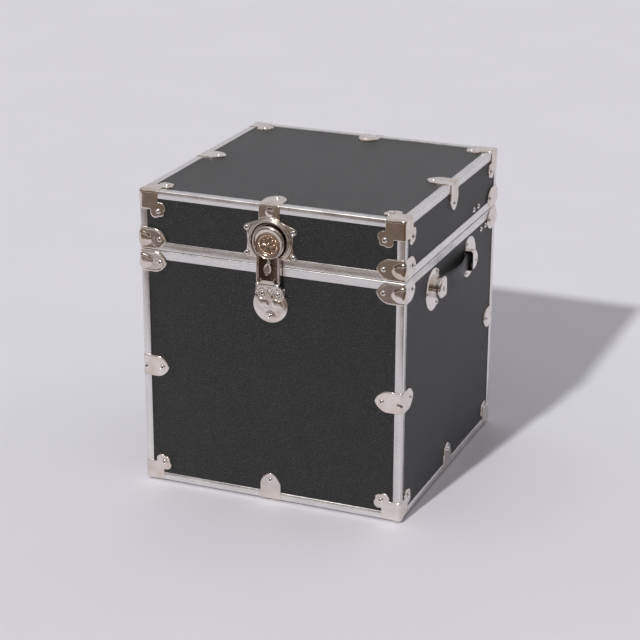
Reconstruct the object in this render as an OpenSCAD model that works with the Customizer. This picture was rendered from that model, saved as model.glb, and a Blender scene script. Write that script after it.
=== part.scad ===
// Cube footlocker: a plywood trunk covered in black vinyl, edged in aluminium and closed by a swinging hasp.
// +X is to the right, the lock faces -Y, +Z is up. The origin is under the middle of the trunk.

/* [Trunk] */
// Width over the aluminium edging
trunk_w = 432; // [400:1:470]
// Depth over the aluminium edging
trunk_d = 437; // [400:1:470]
// Height over the aluminium edging
trunk_h = 481; // [440:1:520]
// Height of the lid over its edging
lid_h = 95.4; // [85:0.1:120]
// Thickness of the plywood panels
panel_t = 9; // [8:0.5:10]
// Thickness of the lining
lining_t = 1; // [0.8:0.1:1.5]

/* [Aluminium edging] */
// Thickness of the edge angles
angle_t = 1.2; // [1:0.1:1.4]
// Width of each leg of the edge angles
angle_leg = 12.5; // [11:0.5:14]
// Height of each closure rail
rail_h = 14.2; // [13:0.1:16]
// Gap between the two closure rails
rail_gap = 0.8; // [0.6:0.1:1.2]

/* [Corner hardware] */
// Thickness of the pressed hardware
sheet_t = 1.2; // [1:0.1:1.4]
// Side of the square part of a corner cap
cap_side = 31; // [29:0.5:33]
// Distance of a corner cap's rivets from both edges
cap_rivet = 32; // [31:0.5:33]
// Width of an edge clamp
clamp_w = 34.5; // [32:0.5:36]
// Reach of an edge clamp over each face
clamp_l = 44.5; // [43:0.5:47]
// Distance of a clamp's rivet from the edge
clamp_rivet = 33; // [31:0.5:35]
// Height of the middle clamps on the upright edges
post_clamp_z = 198; // [150:1:230]

/* [Rivets] */
// Radius of a rivet head
head_r = 4.5; // [4:0.1:5]
// Height of a rivet head
head_h = 2.3; // [2:0.1:2.6]
// Radius of a rivet shank
shank_r = 2; // [1.8:0.1:2.2]

/* [Lock] */
// Sideways place of the lock
lock_x = 1.5; // [-5:0.5:5]
// Height of the middle of the round lock plate
ring_z = 428; // [426:0.5:430]
// Outer radius of the round lock plate
ring_r = 36; // [35:0.5:37]
// Outer radius of the round head of the hasp
hasp_head_r = 26; // [25:0.5:27]
// Width of the hasp's strap
strap_w = 39; // [38:0.5:40]
// Height of the hasp's pin
hasp_pin_z = 361.5; // [360:0.5:363]
// Distance of the hasp's pin from the front of the edging
hasp_pin_out = 9.5; // [9:0.5:10]
// Resting tilt of the keyhole cover
cover_tilt = 10; // [0:1:15]

/* [Handles] */
// Height of the handles' middle
handle_z = 338; // [300:1:350]
// Distance of each hood's mouth from the middle of the handle
mouth_y = 64.5; // [60:0.5:70]
// Height of the hoods above the edging's plane
hood_h = 13.5; // [12.5:0.5:15]
// Width of the leather grip
grip_w = 27; // [25:0.5:28]
// Thickness of the leather grip
grip_t = 4.5; // [4:0.1:5]
// How far the middle of the grip bows out from its ends
grip_bow = 6.5; // [5:0.5:8]

/* [Hinges and lid stay] */
// Distance of each hinge's middle from the middle of the back
hinge_x = 120; // [100:1:140]
// Width of a hinge
hinge_w = 50; // [44:1:60]
// Distance of the hinge axis behind the edging
hinge_out = 5.5; // [5.3:0.1:6]
// Distance from the hinge axis forward to the stay's pin on the trunk
stay_low_y = 63; // [56:1:64]
// Distance from the hinge axis down to the stay's pin on the trunk
stay_low_z = 24; // [22:1:26]
// Distance from the hinge axis forward to the stay's pin on the lid
stay_top_y = 106; // [100:1:110]
// Distance from the hinge axis up to the stay's pin on the lid
stay_top_z = 21; // [20:1:24]

/* [Hidden] */
$fn = 64;

nickel = "#c9bdb2";
alu = "#b9b9bd";
vinyl = "#2b2b2d";
black = "#1c1c1e";
cloth = "#3a3a40";

// Levels: the rivet heads of the underside stand on z = 0
box_z = sheet_t + head_h;
top_z = box_z + trunk_h;
split_z = top_z - lid_h;
half_w = trunk_w / 2;
half_d = trunk_d / 2;
// A height above the underside of the edging, as a height above the floor
function up(z) = z + box_z;
// Half the length of side i: front, right, back and left are 0 to 3
function half_side(i) = i % 2 == 0 ? half_w : half_d;
// Distance from the middle to the plane of side i
function half_reach(i) = i % 2 == 0 ? half_d : half_w;

wall = angle_t + panel_t;         // edging plane to the inner face of a panel
inside = wall + lining_t;         // edging plane to the face of the lining
rivet_grip = sheet_t + inside;    // length of a shank under the head of a clamp's rivet
rail_web = 1.2;                   // thickness of the rails across the panel's edge
rail_inner = 9;                   // height of a rail's inner leg
panel_gap = 2;                    // panel edge to the parting plane
pad_clear = 0.2;                  // hardware to the edge of an angle's leg
bore_r = shank_r + 0.05;

// ---------- frames ----------
// Puts its children on side i: x runs to the right, y up and z outwards from the edging's plane
module on_side(i) rotate([0, 0, 90 * i]) translate([0, -half_reach(i), 0]) rotate([90, 0, 0]) children();
module on_top() translate([0, 0, top_z]) children();
module on_bottom() translate([0, 0, box_z]) rotate([180, 0, 0]) children();
// Puts its children at the four upright edges, with x and y running inwards over the two faces
module at_posts() {
    for (sx = [0, 1], sy = [0, 1])
        translate([(2 * sx - 1) * half_w, (2 * sy - 1) * half_d, 0])
            mirror([sx, 0, 0])
                mirror([0, sy, 0])
                    children();
}
module at_lock() translate([lock_x, -half_d, 0]) rotate([90, 0, 0]) children();

// ---------- rivets ----------
dome_r = (head_r * head_r + head_h * head_h) / (2 * head_h);
clinch_t = 0.8;
// A tubular rivet: its head sits at z = seat, and its shank is clinched a grip below
module rivet(seat, grip) {
    translate([0, 0, seat])
        difference() {
            intersection() {
                translate([0, 0, head_h - dome_r])
                    sphere(r = dome_r);
                cylinder(r = head_r, h = head_h);
            }
            translate([0, 0, head_h - 0.7])
                cylinder(r = 1.3, h = 1);
        }
    translate([0, 0, seat - grip])
        cylinder(r = shank_r, h = grip);
    translate([0, 0, seat - grip - clinch_t])
        cylinder(r = 1.9 * shank_r, h = clinch_t);
}
module rivets(places, seat, grip) {
    for (p = places)
        translate([p[0], p[1], 0])
            rivet(seat, grip);
}
// Bores for rivets, through everything from z = low to z = high
module bores(places, low = -40, high = 40) {
    for (p = places)
        translate([p[0], p[1], low])
            cylinder(r = bore_r, h = high - low);
}

function four(a, b) = [[-a, -b], [a, -b], [-a, b], [a, b]];
function body_side_rivets(i) = concat(
    [for (s = [-1, 1]) [s * (half_side(i) - cap_rivet), up(cap_rivet)]],
    [for (s = [-1, 1]) [s * (half_side(i) - clamp_rivet), split_z - clamp_mid]],
    [for (s = [-1, 1]) [s * (half_side(i) - clamp_rivet), post_clamp_z]],
    [[0, up(clamp_rivet)]]
);
function lid_side_rivets(i) = concat(
    [for (s = [-1, 1]) [s * (half_side(i) - cap_rivet), top_z - cap_rivet]],
    [for (s = [-1, 1]) [s * (half_side(i) - clamp_rivet), split_z + clamp_mid]],
    i == 0 ? [] : [[0, top_z - clamp_rivet]]
);
end_rivets = concat(
    four(half_w - cap_rivet, half_d - cap_rivet),
    [[0, half_d - clamp_rivet], [0, clamp_rivet - half_d]],
    [[half_w - clamp_rivet, 0], [clamp_rivet - half_w, 0]]
);

// ---------- panels ----------
body_low = box_z + angle_t;
body_top = split_z - panel_gap;
lid_low = split_z + panel_gap;
lid_top = top_z - angle_t;

// A wall panel of side i between two heights; front and back run over the ends of the others
module wall_panel(i, low, high, places) {
    reach = half_side(i) - (i % 2 == 0 ? angle_t : wall);
    color(vinyl)
        on_side(i)
            difference() {
                translate([-reach, low, -wall])
                    cube([2 * reach, high - low, panel_t]);
                bores(places);
            }
}
module body_front_panel() wall_panel(0, body_low, body_top, front_places);
module body_back_panel() wall_panel(2, body_low, body_top, back_places);
module body_left_panel() wall_panel(3, body_low, body_top, left_places);
module body_right_panel() wall_panel(1, body_low, body_top, right_places);
module lid_front_panel() wall_panel(0, lid_low, lid_top - panel_t, lid_front_places);
module lid_back_panel() wall_panel(2, lid_low, lid_top - panel_t, lid_back_places);
module lid_left_panel() wall_panel(3, lid_low, lid_top - panel_t, lid_side_rivets(3));
module lid_right_panel() wall_panel(1, lid_low, lid_top - panel_t, lid_right_places);

module bottom_panel() {
    color(vinyl)
        difference() {
            translate([-half_w + wall, -half_d + wall, body_low])
                cube([trunk_w - 2 * wall, trunk_d - 2 * wall, panel_t]);
            on_bottom()
                bores(end_rivets);
        }
}
module lid_top_panel() {
    color(vinyl)
        difference() {
            translate([-half_w + angle_t, -half_d + angle_t, lid_top - panel_t])
                cube([trunk_w - 2 * angle_t, trunk_d - 2 * angle_t, panel_t]);
            on_top()
                bores(end_rivets);
        }
}

// A lining tray: a floor and four thin walls, between its floor and its rim
module lining(floor_z, rim_z, facing) {
    low = min(floor_z, rim_z);
    cut = facing > 0 ? low + lining_t : low - 1;
    difference() {
        translate([-half_w + wall, -half_d + wall, low])
            cube([trunk_w - 2 * wall, trunk_d - 2 * wall, abs(rim_z - floor_z)]);
        translate([-half_w + inside, -half_d + inside, cut])
            cube([trunk_w - 2 * inside, trunk_d - 2 * inside, abs(rim_z - floor_z) - lining_t + 1]);
        children();
    }
}
module body_lining() {
    color(cloth)
        lining(body_low + panel_t, split_z - rail_inner - 1, 1) {
            union() {
                on_side(0) bores(front_places, -14, 0);
                on_side(1) bores(right_places, -14, 0);
                on_side(2) bores(back_places, -14, 0);
                on_side(3) bores(left_places, -14, 0);
                on_bottom() bores(end_rivets);
            }
        }
}
module lid_lining() {
    color(cloth)
        lining(lid_top - panel_t, split_z + rail_inner + 1, -1) {
            union() {
                on_side(0) bores(lid_front_places, -14, 0);
                on_side(1) bores(lid_right_places, -14, 0);
                on_side(2) bores(lid_back_places, -14, 0);
                on_side(3) bores(lid_side_rivets(3), -14, 0);
                on_top() bores(end_rivets);
            }
        }
}

// ---------- aluminium edging ----------
// A rectangular ring whose walls lie between two depths inside the edging's plane
module ring(outer, inner, low, high) {
    difference() {
        translate([-half_w + outer, -half_d + outer, low])
            cube([trunk_w - 2 * outer, trunk_d - 2 * outer, high - low]);
        translate([-half_w + inner, -half_d + inner, low - 1])
            cube([trunk_w - 2 * inner, trunk_d - 2 * inner, high - low + 2]);
    }
}
tongue_in = 4;    // depth of the tongue inside the edging's plane
tongue_t = 1.2;
tongue_clear = 0.6;
lip_h = 2.2;      // height of the bead at the parting edge
lip_step = 0.4;   // how far the bead stands proud of the rail

module body_closure_rail() {
    high = split_z - rail_gap / 2;
    color(alu) {
        ring(0, angle_t, high - lip_h, high);
        ring(lip_step, angle_t, split_z - rail_h, high - lip_h);
        ring(angle_t, inside, high - rail_web, high);
        ring(wall, inside, high - rail_inner, high - rail_web);
        ring(tongue_in, tongue_in + tongue_t, high, split_z + 1.2);
    }
}
module lid_closure_rail() {
    low = split_z + rail_gap / 2;
    groove_out = tongue_in - tongue_clear;
    groove_in = tongue_in + tongue_t + tongue_clear;
    color(alu) {
        ring(0, angle_t, low, split_z + rail_h);
        ring(angle_t, groove_out, low, low + rail_web);
        ring(groove_in, inside, low, low + rail_web);
        ring(wall, inside, low + rail_web, low + rail_inner);
        ring(groove_out - 0.8, groove_out, low + rail_web, low + rail_web + 0.4);
        ring(groove_out - 0.8, groove_in + 0.8, low + rail_web + 0.2, lid_low);
        ring(groove_in, groove_in + 0.8, low + rail_web, low + rail_web + 0.4);
    }
}
end_gap = 4;      // the angles stop short of the corners, under the caps
mitre_gap = 0.1;
// An angle along x, its legs on the planes y = 0 and z = 0, with the flat leg mitred at both ends
module angle_bar(half) {
    full = half - end_gap;
    short = half - angle_leg - mitre_gap;
    knee = end_gap - mitre_gap;
    linear_extrude(angle_t)
        polygon([[-full, 0], [full, 0], [full, knee], [short, angle_leg], [-short, angle_leg],
            [-full, knee]]);
    translate([-full, 0, angle_t])
        cube([2 * full, angle_t, angle_leg - angle_t]);
}
module edge_angles(level, turn) {
    for (i = [0:3])
        rotate([0, 0, 90 * i])
            translate([0, -half_reach(i), level])
                mirror([0, 0, turn])
                    angle_bar(half_side(i));
}
module bottom_edge_angles() color(alu) edge_angles(box_z, 0);
module lid_top_angles() color(alu) edge_angles(top_z, 1);
module post_angles(low, high) {
    at_posts()
        translate([0, 0, low]) {
            cube([angle_leg, angle_t, high - low]);
            translate([0, angle_t, 0])
                cube([angle_t, angle_leg - angle_t, high - low]);
        }
}
module body_corner_angles() {
    color(alu)
        post_angles(box_z + angle_leg + 0.3, split_z - rail_h - 0.3);
}
module lid_corner_angles() {
    color(alu)
        post_angles(split_z + rail_h + 0.3, top_z - angle_leg - 0.3);
}

// ---------- corner caps ----------
fold_r = 4;
// The corner of a box at the origin, running inwards, with its edges and its point rounded
module soft_corner(size, r) {
    translate([r, r, r]) {
        sphere(r = r);
        for (turn = [[0, 0, 0], [0, 90, 0], [-90, 0, 0]])
            rotate(turn)
                cylinder(r = r, h = size - r);
    }
    translate([0, r, r]) cube([size, size - r, size - r]);
    translate([r, 0, r]) cube([size - r, size, size - r]);
    translate([r, r, 0]) cube([size - r, size - r, size]);
}
// Outline of a cap on one face: a square with a clover leaf at its free corner
module cap_outline() {
    translate([-sheet_t, -sheet_t])
        square(cap_side + sheet_t);
    translate([cap_rivet + 3, cap_rivet - 5.5]) circle(r = 8.5);
    translate([cap_rivet - 5.5, cap_rivet + 3]) circle(r = 8.5);
    translate([cap_rivet + 2, cap_rivet + 2]) circle(r = 6.5);
}
// Turns a shape drawn on the z = 0 face onto each of the three faces that meet at the corner
module on_three_faces() {
    children();
    rotate([90, 0, 90]) children();
    mirror([0, 1, 0]) rotate([90, 0, 0]) children();
}
module corner_cap() {
    reach = 60;
    difference() {
        intersection() {
            translate([-sheet_t, -sheet_t, -sheet_t])
                soft_corner(reach, fold_r);
            on_three_faces()
                translate([0, 0, -2 * sheet_t])
                    linear_extrude(2 * sheet_t + angle_t)
                        cap_outline();
        }
        // room for the angles under the cap, then for the panels
        difference() {
            cube(reach);
            translate([angle_leg + pad_clear, angle_leg + pad_clear, -1])
                cube([reach, reach, angle_t + 1]);
            translate([angle_leg + pad_clear, -1, angle_leg + pad_clear])
                cube([reach, angle_t + 1, reach]);
            translate([-1, angle_leg + pad_clear, angle_leg + pad_clear])
                cube([angle_t + 1, reach, reach]);
        }
        translate([angle_t, angle_t, angle_t])
            cube(reach);
        on_three_faces()
            translate([cap_rivet, cap_rivet, -5])
                cylinder(r = bore_r, h = 10);
    }
}
module bottom_corner_caps() {
    color(nickel)
        at_posts()
            translate([0, 0, box_z])
                corner_cap();
}
module lid_corner_caps() {
    color(nickel)
        at_posts()
            translate([0, 0, top_z])
                mirror([0, 0, 1])
                    corner_cap();
}

// ---------- edge clamps ----------
arch_l = 20;      // length of the pointed arch at a clamp's tip
arch_shoulder = 0.6;  // how far the arch would overhang the clamp's sides
// Outline of one half of a clamp, from the edge inwards along +y, centred on x = 0
module tongue(width, length) {
    half = width / 2;
    wide = half + arch_shoulder;
    shift = (arch_l * arch_l - wide * wide) / (2 * wide);
    intersection() {
        translate([-half, -sheet_t])
            square([width, length + sheet_t + 1]);
        union() {
            translate([-width, -sheet_t])
                square([2 * width, length - arch_l + sheet_t]);
            intersection() {
                translate([shift, length - arch_l]) circle(r = wide + shift);
                translate([-shift, length - arch_l]) circle(r = wide + shift);
            }
        }
    }
}
// A clamp over an edge that runs along x; y and z run inwards over the two faces.
// under is how far in the rail or angle under it reaches.
module edge_clamp(width, under) {
    reach = clamp_l + 5;
    difference() {
        intersection() {
                // the two faces, with the fold rounded
                union() {
                    translate([-width, fold_r - sheet_t, -sheet_t])
                        cube([2 * width, reach, reach]);
                    translate([-width, -sheet_t, fold_r - sheet_t])
                        cube([2 * width, reach, reach]);
                    translate([-width, fold_r - sheet_t, fold_r - sheet_t])
                        rotate([0, 90, 0])
                            cylinder(r = fold_r, h = 2 * width);
                }
                union() {
                    translate([0, 0, -sheet_t])
                        linear_extrude(sheet_t + angle_t)
                            tongue(width, clamp_l);
                    rotate([90, 0, 0])
                        translate([0, 0, -angle_t])
                            linear_extrude(sheet_t + angle_t)
                                tongue(width, clamp_l);
                }
        }
        // room for the edging, then for the panels
        translate([-width, 0, 0])
            cube([2 * width, under + pad_clear, under + pad_clear]);
        translate([-width, angle_t, angle_t])
            cube([2 * width, reach, reach]);
        translate([0, clamp_rivet, -5]) cylinder(r = bore_r, h = 10);
        translate([0, 5, clamp_rivet]) rotate([90, 0, 0]) cylinder(r = bore_r, h = 10);
    }
}
// The same clamp stood on an upright edge
module post_clamp(width, under) {
    rotate([90, 0, 90])
        rotate([90, 0, 90])
            edge_clamp(width, under);
}

clamp_mid = 18.4;     // parting plane to the middle of a closure clamp
closure_w = 34;       // width of a closure clamp
module body_closure_clamps() {
    color(nickel)
        at_posts()
            translate([0, 0, split_z - clamp_mid])
                closure_clamp();
}
module lid_closure_clamps() {
    color(nickel)
        at_posts()
            translate([0, 0, split_z + clamp_mid])
                closure_clamp();
}
bulge_r = 9;          // the oval pressed into a closure clamp's fold
bulge_in = 6.4;
module closure_clamp() {
    post_clamp(closure_w, clamp_l + 2);
    difference() {
        translate([bulge_in, bulge_in, 0])
            sphere(r = bulge_r);
        translate([-sheet_t / 2, -sheet_t / 2, -bulge_r])
            cube(2 * bulge_r + sheet_t);
    }
}
module post_clamps() {
    color(nickel)
        at_posts()
            translate([0, 0, post_clamp_z])
                post_clamp(clamp_w, angle_leg);
}
module bottom_edge_clamps() {
    color(nickel)
        for (i = [0:3])
            rotate([0, 0, 90 * i])
                translate([0, -half_reach(i), box_z])
                    edge_clamp(clamp_w, angle_leg);
}
module lid_edge_clamps() {
    color(nickel)
        for (i = [1:3])
            rotate([0, 0, 90 * i])
                translate([0, -half_reach(i), top_z])
                    mirror([0, 0, 1])
                        edge_clamp(clamp_w, angle_leg);
}
// The front clamp is cut short by the lock plate
module lock_edge_clamp() {
    color(nickel)
        difference() {
            translate([0, -half_d, top_z])
                mirror([0, 0, 1])
                    edge_clamp(clamp_w, angle_leg);
            at_lock()
                translate([0, ring_z, -5])
                    cylinder(r = ring_r + 0.3, h = 10);
        }
}

// ---------- lock ----------
ear_x = 38;           // lock plate's rivets from its middle line
ear_top = 445.5;
ear_low = 406;
ear_places = [[-ear_x, ear_low], [ear_x, ear_low], [-ear_x, ear_top], [ear_x, ear_top]];
ring_h = 6;           // height of the raised ring
ring_in = 29;         // inner radius of the raised ring
strap_gap = strap_w / 2 + 1;
lock_rivets_on_side = [for (p = ear_places) [p[0] + lock_x, p[1]]];

module lock_plate() {
    color(nickel)
        at_lock()
            difference() {
                union() {
                    // plate with four ears, on the rail and padded down to the panel above it
                    linear_extrude(sheet_t)
                        lock_outline();
                    difference() {
                        translate([0, 0, -angle_t])
                            linear_extrude(angle_t)
                                lock_outline();
                        translate([-60, 0, -5])
                            cube([120, split_z + rail_h + pad_clear, 10]);
                    }
                    translate([0, ring_z, 0])
                        rotate_extrude()
                            polygon([[ring_in, 0.6], [ring_r, 0.6], [ring_r, 3], [ring_r - 1.5, 5.2],
                                [ring_r - 3, ring_h], [ring_r - 4.6, ring_h], [ring_in + 1, 3.6],
                                [ring_in, 3.2]]);
                }
                // the strap passes through the open foot of the ring
                translate([-strap_gap, split_z - 20, -5])
                    cube([2 * strap_gap, ring_z - split_z - 2, 20]);
                translate([-60, split_z - 20, -5])
                    cube([120, 20 + rail_gap, 20]);
                bores(ear_places);
            }
}
ear_r = 6;
waist_r = 41;         // radius of the hollow between two ears
module lock_outline() {
    for (p = ear_places)
        translate(p)
            circle(r = ear_r);
    difference() {
        translate([-ear_x, ear_low - ear_r])
            square([2 * ear_x, ear_top - ear_low + ear_r]);
        for (s = [-1, 1])
            translate([s * (ear_x + waist_r - 1), (ear_low + ear_top) / 2])
                circle(r = waist_r);
    }
    // straight shoulders from the upper ears up to the ring
    for (s = [-1, 1])
        polygon([[s * (ear_x + 1.5), ear_top + 5.8], [s * 17, ring_z + 31.7], [0, ring_z],
            [s * ear_x, ear_top - ear_r]]);
    translate([0, ring_z])
        circle(r = ring_r);
}
module lock_rivets() {
    color(nickel)
        at_lock()
            rivets(ear_places, sheet_t, rivet_grip);
}

// Hasp: a channel strap that ends in a round head, on a barrel at its foot
head_low = 6.4;       // underside of the head, clear of the ring
head_top = 10.6;
floor_h = 8.2;        // height of the strap's floor
rim_h = 10.2;         // height of the strap's rims
strap_foot = hasp_pin_z + 2;
pin_r = 1.5;
barrel_r = 3.6;
run = 0.05;           // running clearance of pins
knuckle = [[-19, -13.4], [-13, 11], [11.4, 19]];
plug_z = 385;
module barrel(from, to, r = barrel_r) {
    translate([from, hasp_pin_z, hasp_pin_out])
        rotate([0, 90, 0])
            cylinder(r = r, h = to - from);
}
module hasp() {
    color(nickel)
        at_lock()
            difference() {
                union() {
                    translate([0, ring_z - 1, 0])
                        rotate_extrude()
                            polygon([[0, 7], [hasp_head_r - 1.2, 7], [hasp_head_r - 1.2, head_low],
                                [hasp_head_r, head_low], [hasp_head_r, 8.4], [hasp_head_r - 0.8, 9.8],
                                [hasp_head_r - 2.4, head_top], [hasp_head_r - 4, head_top],
                                [hasp_head_r - 5.6, 9.4], [hasp_head_r - 5.8, 7.8], [0, 7.8]]);
                    // strap floor, rims and side flanges
                    translate([-strap_w / 2, strap_foot, floor_h - sheet_t])
                        cube([strap_w, ring_z - 22 - strap_foot, sheet_t]);
                    for (s = [-1, 1]) {
                        translate([s * (strap_w / 2 - 1.5) - 1.5, strap_foot, floor_h - sheet_t])
                            cube([3, ring_z - 22 - strap_foot, rim_h - floor_h + sheet_t]);
                        translate([s * (strap_w / 2 - 0.6) - 0.6, hasp_pin_z + 4.5, 0.6])
                            cube([1.2, split_z + rail_h - 2 - hasp_pin_z - 4.5, floor_h]);
                    }
                    barrel(knuckle[1][0], knuckle[1][1]);
                    // tabs over the knuckle's ends, and the web up to the strap
                    for (x = [knuckle[1][0], knuckle[1][1] - 2.6])
                        translate([x, strap_foot, floor_h - sheet_t])
                            cube([2.6, 7.5, rim_h - floor_h + sheet_t]);
                    translate([knuckle[1][0], hasp_pin_z, floor_h - 1])
                        cube([knuckle[1][1] - knuckle[1][0], 4, 3]);
                }
                barrel(-30, 30, pin_r + run);
                // clear of the outer knuckles of the leaf
                for (k = [knuckle[0], knuckle[2]])
                    barrel(k[0] - 1, k[1] + 0.2, barrel_r + 0.4);
                // bores for the key plug and the cover's pin
                translate([0, plug_z, 0])
                    cylinder(r = plug_r + run, h = 20);
                translate([cover_x, cover_z, 0])
                    cylinder(r = cover_pin_r, h = 20);
            }
}
medal_r = 20;
// A shallow dish with a rosette of eight petals round a boss
module hasp_medallion() {
    color(nickel)
        at_lock()
            translate([0, ring_z - 1, 7.8]) {
                rotate_extrude()
                    polygon([[0, 0], [medal_r, 0], [medal_r, 1.5], [medal_r - 1, 1.5],
                        [medal_r - 4, 0.9], [0, 0.6]]);
                for (a = [0:45:315])
                    rotate(a)
                        translate([7.6, 0, 0.5])
                            intersection() {
                                translate([0, 3.2, 0]) cylinder(r = 6, h = 1.2);
                                translate([0, -3.2, 0]) cylinder(r = 6, h = 1.2);
                            }
                cylinder(r = 2.6, h = 2.2);
            }
}
// Keyhole cover: an oval on a pin near its top, resting a little aside
plug_r = 4;
cover_x = 1.5;
cover_z = 397.5;
cover_pin_r = 1.2;
cover_half = 6.4;
cover_l = 23;
cover_low = 8.6;
module keyhole_cover() {
    color(nickel)
        at_lock()
            translate([cover_x, cover_z, cover_low])
                rotate(-cover_tilt)
                    difference() {
                        union() {
                            linear_extrude(1.4)
                                cover_outline(0);
                            linear_extrude(2.2)
                                difference() {
                                    cover_outline(0);
                                    cover_outline(1.8);
                                }
                            cylinder(r = 2.9, h = 2.2);
                        }
                        translate([0, 0, -1])
                            cylinder(r = cover_pin_r + run, h = 5);
                    }
}
// A pointed oval hanging from the origin, inset by a margin
module cover_outline(inset) {
    half = cover_half - inset;
    rise = cover_l / 2 - inset;
    shift = (rise * rise - half * half) / (2 * half);
    translate([0, -cover_l / 2 + 0.5])
        intersection() {
            translate([shift, 0]) circle(r = half + shift);
            translate([-shift, 0]) circle(r = half + shift);
        }
}
module cover_pin() {
    color(nickel)
        at_lock()
            translate([cover_x, cover_z, 0]) {
                translate([0, 0, floor_h - sheet_t])
                    cylinder(r = cover_pin_r, h = cover_low + 2.3 - floor_h + sheet_t);
                translate([0, 0, cover_low + 2.3])
                    cylinder(r = 2.2, h = 0.7);
                translate([0, 0, floor_h - sheet_t - 0.7])
                    cylinder(r = 2.2, h = 0.7);
            }
}
module key_plug() {
    color("#8f8a84")
        at_lock()
            translate([0, plug_z, 0])
                difference() {
                    union() {
                        translate([0, 0, 2.5])
                            cylinder(r = plug_r, h = floor_h - 2.4);
                        translate([0, 0, 5.4])
                            cylinder(r = plug_r + 1.4, h = floor_h - sheet_t - 5.5);
                    }
                    translate([-0.6, -2.6, 4])
                        cube([1.2, 5.2, 10]);
                }
}

// Leaf and mounting plate under the hasp, riveted to the front panel
leaf_rivet_x = 12.5;
leaf_rivet_z = 345;
foot_rivet_z = 309.5;
leaf_places = [[-leaf_rivet_x, leaf_rivet_z], [leaf_rivet_x, leaf_rivet_z]];
foot_place = [[0, foot_rivet_z]];
leaf_rivets_on_side = [for (p = concat(leaf_places, foot_place)) [p[0] + lock_x, p[1]]];
shield_r = 28.3;
shield_z = 326.5;
shield_top = 354;
module hasp_mount_plate() {
    color(nickel)
        at_lock()
            difference() {
                union() {
                    translate([0, 0, -angle_t])
                        linear_extrude(angle_t + sheet_t) {
                            translate([0, shield_z])
                                circle(r = shield_r);
                            translate([-24, shield_z])
                                square([48, shield_top - shield_z]);
                        }
                    translate([0, foot_rivet_z, sheet_t])
                        cylinder(r = 7, h = 0.8);
                }
                bores(leaf_places);
                bores(foot_place);
            }
}
module hasp_leaf() {
    low = sheet_t + 0.01;
    color(nickel)
        at_lock()
            difference() {
                union() {
                    // two cupped lobes round the rivets
                    for (p = leaf_places)
                        translate([p[0], p[1], low])
                            difference() {
                                cylinder(r = 11.2, h = 3.6);
                                translate([0, 0, sheet_t])
                                    cylinder(r = 9.2, h = 5);
                            }
                    // sloping neck from the lobes to the barrel
                    translate([-19, 0, 0])
                        rotate([90, 0, 90])
                            linear_extrude(38)
                                polygon([[leaf_rivet_z + 5, low], [leaf_rivet_z + 6, low],
                                    [hasp_pin_z - 1, low + 0.4], [hasp_pin_z - 0.5, hasp_pin_out],
                                    [hasp_pin_z - 3.4, hasp_pin_out], [leaf_rivet_z + 5, 4.4]]);
                    for (k = [knuckle[0], knuckle[2]])
                        barrel(k[0], k[1]);
                }
                barrel(knuckle[1][0] - 0.4, knuckle[1][1] + 0.4, barrel_r + 0.4);
                barrel(-30, 30, pin_r);
                // the leaf stands clear of the flanges of the strap
                translate([-30, hasp_pin_z + 4.1, 0])
                    cube([60, 10, 10]);
                bores(leaf_places);
                for (p = leaf_places)
                    translate([p[0], p[1], low + sheet_t])
                        cylinder(r = 6, h = 10);
            }
}
module hasp_pin() {
    color(nickel)
        at_lock()
            barrel(knuckle[0][0], knuckle[2][1], pin_r);
}
module hasp_leaf_rivets() {
    color(nickel)
        at_lock() {
            rivets(leaf_places, 2 * sheet_t + 0.01, 2 * sheet_t + 0.01 + inside);
            rivets(foot_place, sheet_t + 0.8, sheet_t + 0.8 + inside);
        }
}

// ---------- handles ----------
base_low = -angle_t;          // the caps lie on the vinyl, below the edging's plane
base_t = 1.2;
ear_out = 114;
ear_in = 72;
ear_rise = 25;
plate_mid = 86;
plate_r = 33.5;
plate_flat = 66.5;
hood_l = 28;
hood_w = 33;
// Places along one handle, y measured from its middle
cap_ears = [[ear_out, 0], [ear_in, ear_rise], [ear_in, -ear_rise]];
handle_places = [for (s = [-1, 1], p = cap_ears) [s * p[0], handle_z + p[1]]];

// One end cap on side i; s is +1 for the end towards larger x of that side
module handle_cap(i, s) {
    color(nickel)
        on_side(i)
            translate([0, handle_z, 0])
                mirror([s > 0 ? 0 : 1, 0, 0])
                    difference() {
                        union() {
                            translate([0, 0, base_low])
                                linear_extrude(base_t)
                                    handle_plate_outline();
                            hood(0, hood_h);
                        }
                        hood(sheet_t, hood_h - sheet_t);
                        bores(cap_ears);
                    }
}
module handle_plate_outline() {
    intersection() {
        translate([plate_mid, 0])
            circle(r = plate_r);
        translate([plate_flat, -plate_r])
            square([2 * plate_r, 2 * plate_r]);
    }
}
// D-shaped hood, open at its flat side; the hollow one is inset and runs out through the mouth
module hood(inset, height) {
    r = hood_w / 2 - inset;
    start = mouth_y - (inset > 0 ? 5 : 0);
    translate([0, 0, base_low - (inset > 0 ? 0.5 : 0)])
        linear_extrude(height - base_low + (inset > 0 ? 0.5 : 0))
            intersection() {
                union() {
                    translate([mouth_y + hood_l - hood_w / 2, 0])
                        circle(r = r);
                    translate([start, -r])
                        square([mouth_y + hood_l - hood_w / 2 - start, 2 * r]);
                }
            }
}
module right_handle_front_cap() handle_cap(1, -1);
module right_handle_rear_cap() handle_cap(1, 1);
module left_handle_front_cap() handle_cap(3, 1);
module left_handle_rear_cap() handle_cap(3, -1);
module handle_rivets() {
    color(nickel)
        for (i = [1, 3])
            on_side(i)
                rivets(handle_places, base_low + base_t, base_t - angle_t + inside);
}
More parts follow.
